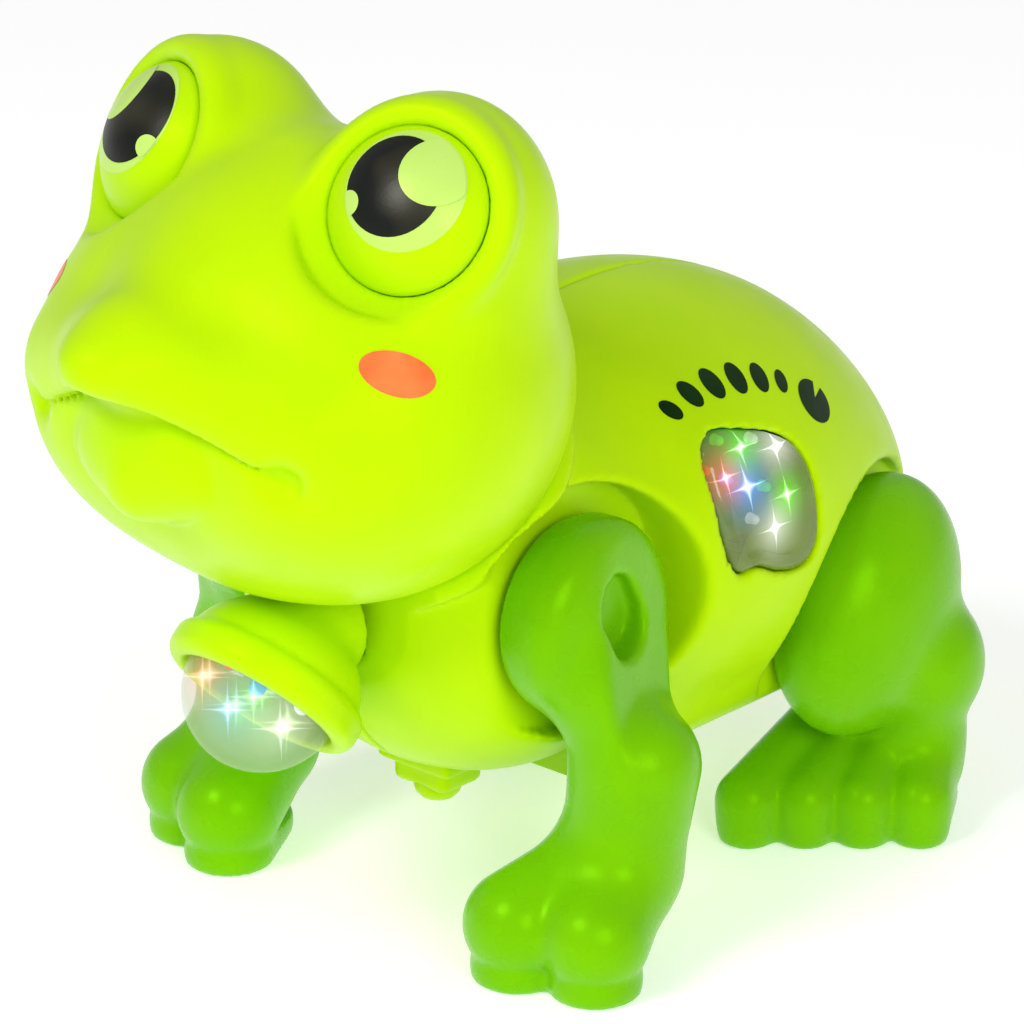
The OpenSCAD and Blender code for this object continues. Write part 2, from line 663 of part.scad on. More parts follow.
// Crank discs half a turn apart. Each pin stops just short of its rocker's slotted arm.
module crank(a) difference() {
    union() {
        rod(crank_x, crank_x + crank_t, crank_c, crank_disc_r, 64);
        rod(crank_x + crank_t - tiny, rocker_x - side_gap, polar(crank_c, crank_throw, a), 1.5, 48);
    }
    rod(crank_x - 1, crank_x + crank_t + 1, crank_c, crank_shaft_r, 32);
}
module crank_left() color("white") stand() {
    crank(lever_a);
    rod(-crank_x - crank_t, crank_x + crank_t, crank_c, crank_shaft_r, 32);
}
module crank_right() color("white") stand() mirror([1, 0, 0]) crank(lever_a + 180);

// ---------- rockers, links and bushes ----------

link_pin = polar([0, 0], link_arm, link_a);
module rocker_body(pivot, slotted, x_square, x_end) {
    difference() {
        union() {
            sheet_x(rocker_x, rocker_t) translate(pivot) {
                if (slotted) hull() {
                    circle(r = 6, $fn = 48);
                    spot(polar([0, 0], lever + crank_throw + 1.5, lever_a), 3.4);
                }
                hull() {
                    circle(r = 6, $fn = 48);
                    spot(link_pin, 3);
                }
            }
            rod(plate_in - 1.5, x_square, pivot, shaft_r, 64);
            translate([0, pivot[0], pivot[1]])
                block(x_square - tiny, x_end, -square_w / 2, square_w / 2, -square_w / 2, square_w / 2);
            rod(rocker_x + 1, pin_end, pivot + link_pin, link_pin_r, 48);
        }
        if (slotted) sheet_x(rocker_x - 1, rocker_t + 2) translate(pivot) hull()
            for (s = [-1, 1]) spot(polar([0, 0], lever + s * (crank_throw + 0.4), lever_a), 1.8);
    }
}
front_square = front_floor + 2.4;
front_end = 33.6;
rear_square = rear_floor + 1.6;
rear_end = 37;
module front_rocker() color("#F2F2F2") difference() {
    rocker_body(front_pivot, true, front_square, front_end);
    rod(front_end - 12, front_end + 1, front_pivot, screw_hole, 32);
}
module rear_rocker() color("#F2F2F2") difference() {
    rocker_body(rear_pivot, false, rear_square, rear_end);
    rod(plate_in - 4, rear_end + 1, rear_pivot, screw_hole, 32);
}
module front_rocker_left() stand() front_rocker();
module front_rocker_right() stand() mirror([1, 0, 0]) front_rocker();
module rear_rocker_left() stand() rear_rocker();
module rear_rocker_right() stand() mirror([1, 0, 0]) rear_rocker();
link_front = front_pivot + link_pin;
link_rear = rear_pivot + link_pin;
// The rear eye is the opened pivot of the four-bar linkage, so it has more room on its pin
module link_rod() color("#E0E0E0") difference() {
    sheet_x(link_x, link_t) {
        hull() {
            spot(link_front, 1.8);
            spot(link_rear, 1.8);
        }
        spot(link_front, 3.1);
        spot(link_rear, 3.1);
    }
    rod(link_x - 1, link_x + link_t + 1, link_front, link_pin_r + run_gap, 48);
    rod(link_x - 1, link_x + link_t + 1, link_rear, link_pin_r + 0.3, 48);
}
module link_rod_left() stand() link_rod();
module link_rod_right() stand() mirror([1, 0, 0]) link_rod();
module rear_bracket() color("white") stand() difference() {
    union() {
        for (flip = [false, true]) other_side(flip) {
            sheet_x(plate_in, plate_t) hull() {
                spot(rear_pivot, 6.6);
                spot(rear_pivot + [-4, 14], 3);
                spot(rear_pivot + [4, 14], 3);
            }
            rod(plate_in - 1, plate_out, rear_pivot, 6, 64);
        }
        block(-plate_out, plate_out, rear_pivot[0] - 6, rear_pivot[0] + 6,
            rear_pivot[1] + 14.5, rear_pivot[1] + 16.5);
    }
    rod(-plate_out - 1, plate_out + 1, rear_pivot, shaft_r + run_gap, 64);
}
// Flanged nylon bushes where the leg shafts leave the shells
module bush(at, floor_x, x_out) difference() {
    union() {
        rod(floor_x - wall - 0.3, x_out, at, 5.5, 64);
        rod(floor_x - wall - 1.3, floor_x - wall - 0.2, at, 7, 64);
    }
    rod(floor_x - wall - 2, x_out + 1, at, shaft_r + run_gap, 64);
}
module shaft_bushes() color("#F0F0E0") stand() for (flip = [false, true]) other_side(flip) {
    bush(front_pivot, front_floor, front_floor + 1);
    bush(rear_pivot, rear_floor, rear_floor + 0.3);
}

// ---------- legs ----------

// Half the width of the square socket in each leg
socket = square_w / 2 + 0.08;
// The middle of the hub, from its pivot, and the backward lean of a thigh
hub_drop = [-0.5, -1.6];
thigh_lean = 25;
// Cuts the feet off flat at the floor
module on_floor() intersection() {
    children();
    block(-100, 100, -100, 100, 0, 100);
}
module front_leg() color(leg_tint) difference() {
    on_floor() union() {
        intersection() {
            union() {
                hull() {
                    rod(hub_face, hub_face + 7, front_pivot + hub_drop, hub_r, 36);
                    rod(hub_face + 7, hub_face + 11.4, front_pivot + hub_drop, hub_r - 4, 36);
                }
                limb([36, front_pivot[0] - 1.5, 60], 10, [39.5, front_pivot[0] + 1, 50], 10.5);
                limb([39.5, front_pivot[0] + 1, 50], 10.5, [43.5, -18, 35], 9.5);
            }
            block(hub_face, 100, -100, 100, 0, 100);
        }
        limb([43.5, -18, 35], 9.5, [41, -20, 18], 10.2);
        limb([33, -35.2, 9.4], 8.9, [39, -22, 14], 9.4);
        limb([45.8, -31, 9.4], 8.9, [41, -20, 15], 9.2);
        limb([33, -35.2, 4.5], 8.3, [45.8, -31, 4.5], 8.3);
        limb([38.5, -25, 5], 8, [45, -30, 5], 8);
    }
    translate([0, front_pivot[0], front_pivot[1]])
        block(hub_face - 1, front_end + 0.3, -socket, socket, -socket, socket);
    rod(hub_face - 1, front_square + 0.3, front_pivot, shaft_r + 0.2, 32);
    rod(front_end - 1, 80, front_pivot, screw_hole + 0.1, 20);
    rod(front_end + 1.6, 80, front_pivot, 3.4, 32);
}
function toe_tip(i, z) = [27.4 + 7.3 * i, 30 + 6.6 * i, z];
function toe_root(i, z) = [27.5 + 4.4 * i, 50.5 + 3.7 * i, z];
module rear_leg() color(leg_tint) difference() {
    on_floor() union() {
        intersection() {
            union() {
                translate([36, 50.5, 40]) rotate([-thigh_lean, 0, 0]) lump([0, 0, 0], [14, 18.2, 23.2]);
                lump([41, 58.3, 28.7], [12, 12, 13]);
            }
            block(thigh_face, 100, 0, 100, 0, 100);
        }
        limb([40.5, 58, 22], 10, [41.5, 58, 10], 8.5);
        for (i = [0 : 3]) limb(toe_tip(i, 7.6), 5.8, toe_root(i, 14), 6.4);
        for (i = [0 : 3]) limb(toe_tip(i, 4.6), 5.4, toe_root(i, 5), 6.4);
    }
    translate([0, rear_pivot[0], rear_pivot[1]])
        block(thigh_face - 1, rear_end + 0.3, -socket, socket, -socket, socket);
    rod(thigh_face - 1, rear_square + 0.3, rear_pivot, shaft_r + 0.2, 32);
    rod(rear_end - 1, rear_end + 6, rear_pivot, screw_hole, 20);
}
module front_leg_left() stand() front_leg();
module front_leg_right() stand() mirror([1, 0, 0]) front_leg();
module rear_leg_left() stand() rear_leg();
module rear_leg_right() stand() mirror([1, 0, 0]) rear_leg();

// ---------- screws ----------

module leg_screw_front() color("silver") mirror([1, 0, 0])
    screw_x(-front_end - 3.4, -front_end + 10.6, front_pivot, 3, 1.8);
module leg_screw_rear() color("silver") screw_x(plate_in - 3.6, rear_end + 5, rear_pivot, 3, 1.8);
module front_leg_screw_left() stand() leg_screw_front();
module front_leg_screw_right() stand() mirror([1, 0, 0]) leg_screw_front();
module rear_leg_screw_left() stand() leg_screw_rear();
module rear_leg_screw_right() stand() mirror([1, 0, 0]) leg_screw_rear();
module shell_screws() color("silver") stand() for (p = shell_screws_at)
    screw_x(-shell_seat - 1.9, 9, [p[0], p[1]], 2.6, 1.8);
module head_screws() color("silver") stand() for (flip = [false, true]) other_side(flip)
    for (d = head_screw_dirs) let (way = d / norm(d))
        translate(head_blobs[0][0] + way * head_screw_in) look(way) {
            translate([0, 0, 3]) cylinder(h = 13, r = screw_r, $fn = 32);
            translate([0, 0, 15.6]) cylinder(h = 1.4, r = 1.9, $fn = 32);
        }

body_shell_left();
body_shell_right();
head_shell();
eye_left();
eye_right();
lamp_hood();
lamp_lens();
lamp_board();
lamp_leds();
window_left();
window_right();
light_board_left();
light_board_right();
side_leds_left();
side_leds_right();
battery_tray();
battery_door();
battery_door_screw();
cell_1();
cell_2();
cell_3();
contact_plates();
contact_springs();
button_housing();
power_button();
button_spring();
power_switch();
speaker();
main_board();
board_parts();
gear_plate_left();
gear_plate_right();
gearbox_screws();
gear_axles();
motor();
motor_shaft();
motor_pinion();
gear_1();
gear_2();
crank_gear();
crank_left();
crank_right();
rear_bracket();
shaft_bushes();
front_rocker_left();
front_rocker_right();
rear_rocker_left();
rear_rocker_right();
link_rod_left();
link_rod_right();
front_leg_left();
front_leg_right();
rear_leg_left();
rear_leg_right();
front_leg_screw_left();
front_leg_screw_right();
rear_leg_screw_left();
rear_leg_screw_right();
shell_screws();
head_screws();
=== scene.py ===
import math

import bpy
import numpy as np
import openvdb as vdb
from mathutils import Matrix, Vector
from mathutils.bvhtree import BVHTree


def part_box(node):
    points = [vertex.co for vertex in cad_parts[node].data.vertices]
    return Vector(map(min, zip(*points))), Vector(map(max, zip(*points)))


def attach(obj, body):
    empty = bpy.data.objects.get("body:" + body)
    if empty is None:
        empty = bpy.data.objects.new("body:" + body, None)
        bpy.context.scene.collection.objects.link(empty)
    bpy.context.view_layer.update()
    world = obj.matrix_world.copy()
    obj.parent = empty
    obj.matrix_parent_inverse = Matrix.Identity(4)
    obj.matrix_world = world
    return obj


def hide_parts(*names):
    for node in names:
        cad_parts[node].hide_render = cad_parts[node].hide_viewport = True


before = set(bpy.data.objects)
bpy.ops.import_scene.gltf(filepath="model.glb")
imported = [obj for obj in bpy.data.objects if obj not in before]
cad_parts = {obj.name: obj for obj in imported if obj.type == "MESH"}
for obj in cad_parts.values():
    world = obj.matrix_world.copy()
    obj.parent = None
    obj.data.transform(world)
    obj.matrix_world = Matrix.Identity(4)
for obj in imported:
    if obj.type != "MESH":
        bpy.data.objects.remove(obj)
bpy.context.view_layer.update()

# ---------------------------------------------------------------- shared values, in mm
MID_Y = 7.44                      # the design frame's origin, as a distance along Y
CELL = 0.8                        # spacing of the sculpting grid
FINE = 0.55
SIDES = (("left", 1), ("right", -1))
FRONT_PIVOT = (-20.0, 60.5)
REAR_PIVOT = (52.0, 50.0)
EYE_MOUND = (24.0, -43.5, 127.5)
EYE_TILT, EYE_YAW, EYE_SINK = 64.0, 18.7, 12.6
EYE_R, EYE_HIGH = 13.0, 6.2
LAMP_TILT = 43.0


# ---------------------------------------------------------------- sculpting with distance fields
def grid(lo, hi, h):
    axes = [np.arange(a, b + h, h, dtype=np.float32) for a, b in zip(lo, hi)]
    return axes[0][:, None, None], axes[1][None, :, None], axes[2][None, None, :]


def ell(P, c, r, turn=None):
    """Distance to an ellipsoid, nearly; turn holds the rows of its axes."""
    q = [P[i] - c[i] for i in range(3)]
    if turn is not None:
        q = [sum(turn[i][j] * q[j] for j in range(3)) for i in range(3)]
    k0 = np.sqrt(sum((q[i] / r[i]) ** 2 for i in range(3)))
    k1 = np.sqrt(sum((q[i] / r[i] ** 2) ** 2 for i in range(3)))
    return (k0 * (k0 - 1) / np.maximum(k1, 1e-9)).astype(np.float32)


def cap(P, a, b, ra, rb):
    """A round-ended rod from a to b whose radius runs from ra to rb."""
    d = [b[i] - a[i] for i in range(3)]
    q = [P[i] - a[i] for i in range(3)]
    t = np.clip(sum(q[i] * d[i] for i in range(3)) / sum(v * v for v in d), 0, 1)
    return np.sqrt(sum((q[i] - t * d[i]) ** 2 for i in range(3))) - (ra + (rb - ra) * t)


def smin(a, b, k):
    """The union of two shapes with a fillet about k wide; smax is the intersection."""
    h = np.clip(0.5 + 0.5 * (b - a) / k, 0, 1)
    return b + (a - b) * h - k * h * (1 - h)


def smax(a, b, k):
    return -smin(-a, -b, k)


def brick(P, lo, hi, r=0.0):
    q = [np.abs(P[i] - (lo[i] + hi[i]) / 2) - (hi[i] - lo[i]) / 2 + r for i in range(3)]
    out = np.sqrt(sum(np.maximum(v, 0) ** 2 for v in q))
    return out + np.minimum(np.maximum(np.maximum(q[0], q[1]), q[2]), 0) - r


def rod_x(P, at, r, x0, x1):
    """A flat-ended rod along X, centred at (y, z)."""
    ring = np.sqrt((P[1] - at[0]) ** 2 + (P[2] - at[1]) ** 2) - r
    return np.maximum(ring, np.maximum(x0 - P[0], P[0] - x1))


def link(ob):
    bpy.context.scene.collection.objects.link(ob)
    return ob


def mesh_object(name, points_mm, faces, material, smooth=True):
    """A mesh from design-frame points in mm, stood in the shared frame in metres."""
    pts = (np.asarray(points_mm, float) + (0, MID_Y, 0)) / 1000
    me = bpy.data.meshes.new(name)
    me.from_pydata(pts.tolist(), [], faces)
    me.update()
    me.polygons.foreach_set("use_smooth", [smooth] * len(me.polygons))
    me.materials.append(material)
    return link(bpy.data.objects.new(name, me))


def sculpt(name, field, lo, h, material):
    """The zero surface of a distance field sampled every h mm from lo."""
    g = vdb.FloatGrid(background=float(3 * h))
    g.copyFromArray(np.clip(field, -3 * h, 3 * h).astype(np.float32), tolerance=0.0)
    pts, tri, quad = g.convertToPolygons(isovalue=0.0, adaptivity=0.0)
    faces = [tuple(int(i) for i in f) for part in (quad, tri) for f in part]
    return mesh_object(name, pts * h + np.array(lo), faces, material)


def turned(v):
    """Rows of local axes whose third one is v."""
    w = Vector(v).normalized()
    u = Vector((0, 0, 1)).cross(w)
    u = u.normalized() if u.length > 1e-6 else Vector((1, 0, 0))
    return np.array([u, w.cross(u), w], float)


def lathe(name, profile, at, axis, material, around=48):
    """A turned shape: profile is (radius, height) along axis."""
    R = turned(axis)
    pts, faces = [], []
    n = len(profile)
    for i in range(around):
        a = 2 * math.pi * i / around
        for r, z in profile:
            pts.append(np.array(at) + R[0] * r * math.cos(a) + R[1] * r * math.sin(a) + R[2] * z)
    for i in range(around):
        k = (i + 1) % around
        faces += [(i * n + j, k * n + j, k * n + j + 1, i * n + j + 1) for j in range(n - 1)]
    faces.append(tuple(i * n for i in range(around))[::-1])
    faces.append(tuple(i * n + n - 1 for i in range(around)))
    return mesh_object(name, pts, faces, material)


# ---------------------------------------------------------------- materials
def new_material(name):
    m = bpy.data.materials.new(name)
    m.use_nodes = True
    return m, m.node_tree, m.node_tree.nodes["Principled BSDF"]


def object_point(nt):
    return nt.nodes.new("ShaderNodeTexCoord").outputs["Object"]


def noise(nt, where, scale, detail=2.0):
    n = nt.nodes.new("ShaderNodeTexNoise")
    n.inputs["Scale"].default_value = scale
    n.inputs["Detail"].default_value = detail
    nt.links.new(where, n.inputs["Vector"])
    return n.outputs["Fac"]


def spread(nt, value, low, high, lo_in=0.3, hi_in=0.7):
    n = nt.nodes.new("ShaderNodeMapRange")
    n.inputs["From Min"].default_value, n.inputs["From Max"].default_value = lo_in, hi_in
    n.inputs["To Min"].default_value, n.inputs["To Max"].default_value = low, high
    nt.links.new(value, n.inputs["Value"])
    return n.outputs["Result"]


def blend_colours(nt, factor, a, b):
    n = nt.nodes.new("ShaderNodeMix")
    n.data_type = "RGBA"
    n.inputs["A"].default_value = (*a, 1)
    n.inputs["B"].default_value = (*b, 1)
    nt.links.new(factor, n.inputs["Factor"])
    return n.outputs["Result"]


def grain(nt, shader, where, scale, strength, depth=0.0002):
    bump = nt.nodes.new("ShaderNodeBump")
    bump.inputs["Strength"].default_value = strength
    bump.inputs["Distance"].default_value = depth
    nt.links.new(noise(nt, where, scale), bump.inputs["Height"])
    nt.links.new(bump.outputs["Normal"], shader.inputs["Normal"])


def finish_of(name, a, b, rough, patch=70.0, fine=1600.0, bump=0.15, metal=0.0, coat=0.0,
              glow_under=0.0, radius=(0.4, 1.0, 0.1), shine=0.45):
    """A solid finish: patchy colour from a to b, uneven gloss and a fine moulded grain."""
    m, nt, s = new_material(name)
    where = object_point(nt)
    patchy = noise(nt, where, patch)
    nt.links.new(blend_colours(nt, spread(nt, patchy, 0, 1), a, b), s.inputs["Base Color"])
    nt.links.new(spread(nt, noise(nt, where, patch * 2.3), rough * 0.85, rough * 1.15),
                 s.inputs["Roughness"])
    grain(nt, s, where, fine, bump)
    s.inputs["Metallic"].default_value = metal
    s.inputs["Specular IOR Level"].default_value = shine
    s.inputs["Specular Tint"].default_value = (*[min(1, c * 1.4) for c in a], 1)
    s.inputs["Coat Weight"].default_value = coat
    s.inputs["Coat Roughness"].default_value = 0.12
    s.inputs["Subsurface Weight"].default_value = glow_under
    s.inputs["Subsurface Radius"].default_value = radius
    s.inputs["Subsurface Scale"].default_value = 0.004
    return m


def math_node(nt, operation, a, b=None, clamp=False):
    n = nt.nodes.new("ShaderNodeMath")
    n.operation = operation
    n.use_clamp = clamp
    for socket, value in zip(n.inputs, (a, b)):
        if value is None:
            continue
        if isinstance(value, (int, float)):
            socket.default_value = value
        else:
            nt.links.new(value, socket)
    return n.outputs["Value"]


def vector_node(nt, operation, a, b):
    n = nt.nodes.new("ShaderNodeVectorMath")
    n.operation = operation
    nt.links.new(a, n.inputs[0])
    socket = n.inputs["Scale"] if operation == "SCALE" else n.inputs[1]
    if isinstance(b, tuple):
        socket.default_value = b
    else:
        nt.links.new(b, socket)
    return n.outputs["Value" if operation in ("DOT_PRODUCT", "DISTANCE") else "Vector"]


def add_painted_glow(m, spots, axes, halo, spike, power):
    """Painted light in a clear part over each lamp: a soft painted halo with a painted four-pointed star of flare
    on it.

    spots are (point in metres, colour, size), and axes are the star's two directions."""
    nt, s = m.node_tree, m.node_tree.nodes["Principled BSDF"]
    where = object_point(nt)
    total = None
    for point, colour, size in spots:
        away = vector_node(nt, "SUBTRACT", where, tuple(point))
        along = [math_node(nt, "ABSOLUTE", vector_node(nt, "DOT_PRODUCT", away, tuple(axis))) for axis in axes]
        apart = math_node(nt, "ADD", *along)
        cross = math_node(nt, "SQRT", math_node(nt, "MULTIPLY", *along))
        ray = math_node(nt, "ADD", math_node(nt, "DIVIDE", apart, spike * size),
                        math_node(nt, "DIVIDE", cross, 0.16 * spike * size))
        star = math_node(nt, "SUBTRACT", 1.0, ray, True)
        far = vector_node(nt, "DISTANCE", where, tuple(point))
        soft_fall = math_node(nt, "SUBTRACT", 1.0, math_node(nt, "DIVIDE", far, halo * size), True)
        soft_fall = math_node(nt, "MULTIPLY", math_node(nt, "MULTIPLY", soft_fall, soft_fall), 1.1)
        white = blend_colours(nt, star, colour, (1, 1, 1))
        white = vector_node(nt, "SCALE", white, math_node(nt, "MULTIPLY", star, 2.5))
        tint = vector_node(nt, "SCALE", blend_colours(nt, star, colour, colour), soft_fall)
        both = vector_node(nt, "ADD", white, tint)
        total = both if total is None else vector_node(nt, "ADD", total, both)
    nt.links.new(total, s.inputs["Emission Color"])
    s.inputs["Emission Strength"].default_value = power
    return m


def clear_plastic(name, alpha, tint=(0.75, 0.82, 0.72)):
    m, nt, s = new_material(name)
    where = object_point(nt)
    nt.links.new(blend_colours(nt, spread(nt, noise(nt, where, 90), 0, 1), tint,
                               tuple(v * 0.85 for v in tint)), s.inputs["Base Color"])
    s.inputs["Roughness"].default_value = 0.06
    s.inputs["Alpha"].default_value = alpha
    s.inputs["Coat Weight"].default_value = 0.6
    grain(nt, s, where, 260, 0.1, 0.0004)
    return m


LIME_A, LIME_B = (0.51, 0.82, 0.002), (0.48, 0.79, 0.002)
lime = finish_of("lime_shell", LIME_A, LIME_B, 0.34, glow_under=0.05, radius=(1.0, 1.0, 0.1), shine=0.3)
leg_green = finish_of("leg_green", (0.185, 0.53, 0.002), (0.16, 0.49, 0.002), 0.28, glow_under=0.05,
                      shine=0.6)
iris_paint = finish_of("iris_paint", (0.54, 0.80, 0.15), (0.50, 0.76, 0.13), 0.3)
glint_paint = finish_of("glint_paint", (0.55, 0.80, 0.17), (0.52, 0.77, 0.15), 0.3)
blush_paint = finish_of("blush_paint", (1.0, 0.15, 0.035), (1.0, 0.24, 0.07), 0.35, patch=160)
ink = finish_of("decal_ink", (0.004, 0.02, 0.002), (0.008, 0.035, 0.004), 0.4)


def pupil_finish():
    m, nt, s = new_material("pupil_paint")
    where = object_point(nt)
    # The olive-brown patches mixed into the black are a painted sheen, strewn at random by noise.
    patchy = noise(nt, where, 55)
    nt.links.new(blend_colours(nt, spread(nt, patchy, 0, 1, 0.42, 0.62), (0.002, 0.003, 0.001),
                               (0.035, 0.032, 0.015)), s.inputs["Base Color"])
    s.inputs["Roughness"].default_value = 0.35
    s.inputs["Specular IOR Level"].default_value = 0.3
    grain(nt, s, where, 1600, 0.1)
    return m


pupil_paint = pupil_finish()


# ---------------------------------------------------------------- the head
def eye_axes():
    t, w = math.radians(EYE_TILT), math.radians(EYE_YAW)
    out = (math.sin(w) * math.sin(t), -math.cos(w) * math.sin(t), math.cos(t))
    right = (math.cos(w), math.sin(w), 0.0)
    up = np.cross(out, right)
    return np.array([right, up, out])


EYE = eye_axes()


MOUTH_Z, MOUTH_FALL = 108.6, 0.47      # the mouth line at the middle, and how it falls outwards


def head_field(P):
    across = np.abs(P[0])
    Q = (across, P[1], P[2])
    d = ell(Q, (0, -47, 100), (44.5, 37.5, 37))
    d = smin(d, ell(Q, (17, -55, 96), (24.2, 27, 23)), 8)
    d = smin(d, cap(Q, (0, -48, 122), (0, -82, 112), 15, 8.5), 9)
    below = MOUTH_Z - MOUTH_FALL * across - P[2]
    lip = smin(ell(Q, (0, -78, 96), (17, 10.5, 12)), cap(Q, (0, -83, 91.5), (9, -80, 93.5), 6.8, 6), 3)
    lip = smax(lip, 0.6 - below, 1.2)
    d = smin(d, lip, 0.8)
    beak = smin(cap(Q, (0, -87, 111.5), (24, -73.5, 102.5), 7.8, 7.6), ell(Q, (0, -89, 112), (8, 9.4, 6)), 4)
    beak = smax(beak, below, 0.7)
    d = np.where(below < 0, smin(d, beak, 6), smin(d, beak, 0.8))
    groove = np.maximum(np.abs(below) - 0.35, np.maximum(across - 27, P[1] + 70))
    d = smax(d, -np.maximum(groove, -1.5 - d), 1.2)
    d = smax(d, -ell(Q, (27.2, -81.6, 96.2), (2.4, 2.4, 2.2)), 4)
    return smin(d, ell(Q, EYE_MOUND, (18, 19, 20.5)), 8)


def eye_local(P):
    q = [np.abs(P[0]) - EYE_MOUND[0], P[1] - EYE_MOUND[1], P[2] - EYE_MOUND[2]]
    return [sum(EYE[i][j] * q[j] for j in range(3)) for i in range(3)]


head_lo, head_hi = (-50, -106, 54), (50, 4, 152)
P = grid(head_lo, head_hi, CELL)
head = head_field(P)
u, v, w = eye_local(P)
ring = np.sqrt(u * u + v * v)
bead = np.sqrt((ring - 15.0) ** 2 + (w - 10.6) ** 2) - 1.9
head = smin(head, np.where(w > 0, bead, 50), 3.5)
seat = np.maximum(ring - 13.02, 10.6 - w)
head = smax(head, -np.maximum(ring - 17, 12.3 + 0.8 * (ring - 13) - w), 1.6)
head = smax(head, -seat, 0.5)
head_ob = sculpt("head", head, head_lo, CELL, lime)
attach(head_ob, "frame")
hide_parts("head_shell")


def reach_in_iris(start, step):
    """How many steps from start stay inside the iris, with a margin of 0.15 mm."""
    off = [p - c for p, c in zip(start, IRIS_AT)]
    aa = sum(t * t for t in step)
    bb = sum(t * o for t, o in zip(step, off))
    cc = sum(o * o for o in off) - (IRIS_R[0] - 0.15) ** 2
    return (math.sqrt(bb * bb - aa * cc) - bb) / aa


def disc_on_dome(name, centre, radii, lift, side, material, steps=10, around=48):
    """A printed disc on the eye dome, centred at (right, up) mm from the dome's axis."""
    ball = (EYE_R ** 2 + EYE_HIGH ** 2) / (2 * EYE_HIGH)
    base = EYE_SINK + EYE_HIGH - ball
    pts, faces = [], []
    for i in range(steps + 1):
        for j in range(around):
            a = 2 * math.pi * j / around
            step = (radii[0] * math.cos(a), radii[1] * math.sin(a))
            share = min(1, reach_in_iris(centre, step)) if lift > 0.1 else 1
            x, y = [c + t * share * i / steps for c, t in zip(centre, step)]
            z = base + math.sqrt(max((ball + lift) ** 2 - x * x - y * y, 0))
            p = np.array(EYE_MOUND) + EYE[0] * x + EYE[1] * y + EYE[2] * z
            pts.append((p[0] * side, p[1], p[2]))
    for i in range(steps):
        for j in range(around):
            k = (j + 1) % around
            f = (i * around + j, (i + 1) * around + j, (i + 1) * around + k, i * around + k)
            faces.append(f if side > 0 else f[::-1])
    ob = mesh_object(name, pts, faces, material)
    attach(ob, "frame")
    return ob


def eye_dome(name, side):
    ball = (EYE_R ** 2 + EYE_HIGH ** 2) / (2 * EYE_HIGH)
    base = EYE_SINK + EYE_HIGH - ball
    at = np.array(EYE_MOUND)
    axis = EYE[2]
    if side < 0:
        at, axis = at * (-1, 1, 1), axis * (-1, 1, 1)
    edge = math.asin(EYE_R / ball)
    arc = [(ball * math.sin(edge * (1 - i / 16)), base + ball * math.cos(edge * (1 - i / 16)))
           for i in range(16)]
    profile = [(EYE_R - 1, 10.8), (EYE_R, 11.2), (EYE_R, 12.3)] + arc + [(0.05, base + ball)]
    ob = lathe(name, profile, at, axis, lime, 64)
    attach(ob, "frame")
    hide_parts("eye_" + name.rsplit("_", 1)[1])
    return ob


IRIS_AT, IRIS_R = (0.6, 2.5), (9.6, 9.6)
PUPIL_AT, PUPIL_R = (-0.8, 2.9), (7.9, 8.0)
GLINT_AT, GLINT_R = (5.4, 5.9), (5.5, 5.5)
NOTCH_AT, NOTCH_R = (-7.7, -0.6), (2.0, 2.0)
for side_name, side in SIDES:
    eye_dome("eye_dome_" + side_name, side)
    disc_on_dome("iris_" + side_name, IRIS_AT, IRIS_R, 0.05, side, iris_paint)
    disc_on_dome("pupil_" + side_name, PUPIL_AT, PUPIL_R, 0.11, side, pupil_paint)
    disc_on_dome("glint_" + side_name, GLINT_AT, GLINT_R, 0.15, side, glint_paint)
    disc_on_dome("small_glint_" + side_name, NOTCH_AT, NOTCH_R, 0.15, side, glint_paint, 4, 24)


# ---------------------------------------------------------------- decals laid on a sculpted skin
def skin_tree(ob):
    me = ob.data
    return BVHTree.FromPolygons([v.co for v in me.vertices], [tuple(f.vertices) for f in me.polygons])


def decal(name, tree, outline, origin, axes, away, lift, side, material, steps=6):
    """Lays a star-shaped outline (right, up) on a skin by looking along -away from outside."""
    n = len(outline)
    cx = sum(p[0] for p in outline) / n
    cy = sum(p[1] for p in outline) / n
    pts, faces = [], []
    back = Vector(away) * 0.05
    for i in range(steps + 1):
        for x, y in outline:
            x, y = cx + (x - cx) * i / steps, cy + (y - cy) * i / steps
            p = np.array(origin) + np.array(axes[0]) * x + np.array(axes[1]) * y
            p = Vector((p + (0, MID_Y, 0)) / 1000)
            hit, normal, _, _ = tree.ray_cast(p + back, -Vector(away))
            if hit is None:
                hit, normal, _, _ = tree.find_nearest(p)
            q = np.array(hit + normal * lift / 1000) * 1000 - (0, MID_Y, 0)
            pts.append((q[0] * side, q[1], q[2]))
    for i in range(steps):
        for j in range(n):
            k = (j + 1) % n
            f = (i * n + j, (i + 1) * n + j, (i + 1) * n + k, i * n + k)
            faces.append(f if side > 0 else f[::-1])
    ob = mesh_object(name, pts, faces, material)
    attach(ob, "frame")
    return ob


def oval(c, r, tilt=0.0, n=40):
    t = math.radians(tilt)
    out = []
    for i in range(n):
        a = 2 * math.pi * i / n
        x, y = r[0] * math.cos(a), r[1] * math.sin(a)
        out.append((c[0] + x * math.cos(t) - y * math.sin(t), c[1] + x * math.sin(t) + y * math.cos(t)))
    return out


BLUSH_AT = (37.0, -67.0, 112.2)
BLUSH_SHIFT = {1: 0.4, -1: -2.6}  # along the cheek; the right oval sits further forward than the left one
blush_out = Vector((0.72, -0.68, 0.1)).normalized()
blush_right = Vector((0, 0, 1)).cross(blush_out).normalized()
blush_up = blush_out.cross(blush_right)
head_tree = skin_tree(head_ob)
for side_name, side in SIDES:
    decal("blush_" + side_name, head_tree, oval((BLUSH_SHIFT[side], 0), (6.0, 3.1), -18), BLUSH_AT,
          (blush_right, blush_up), blush_out, 0.07, side, blush_paint)


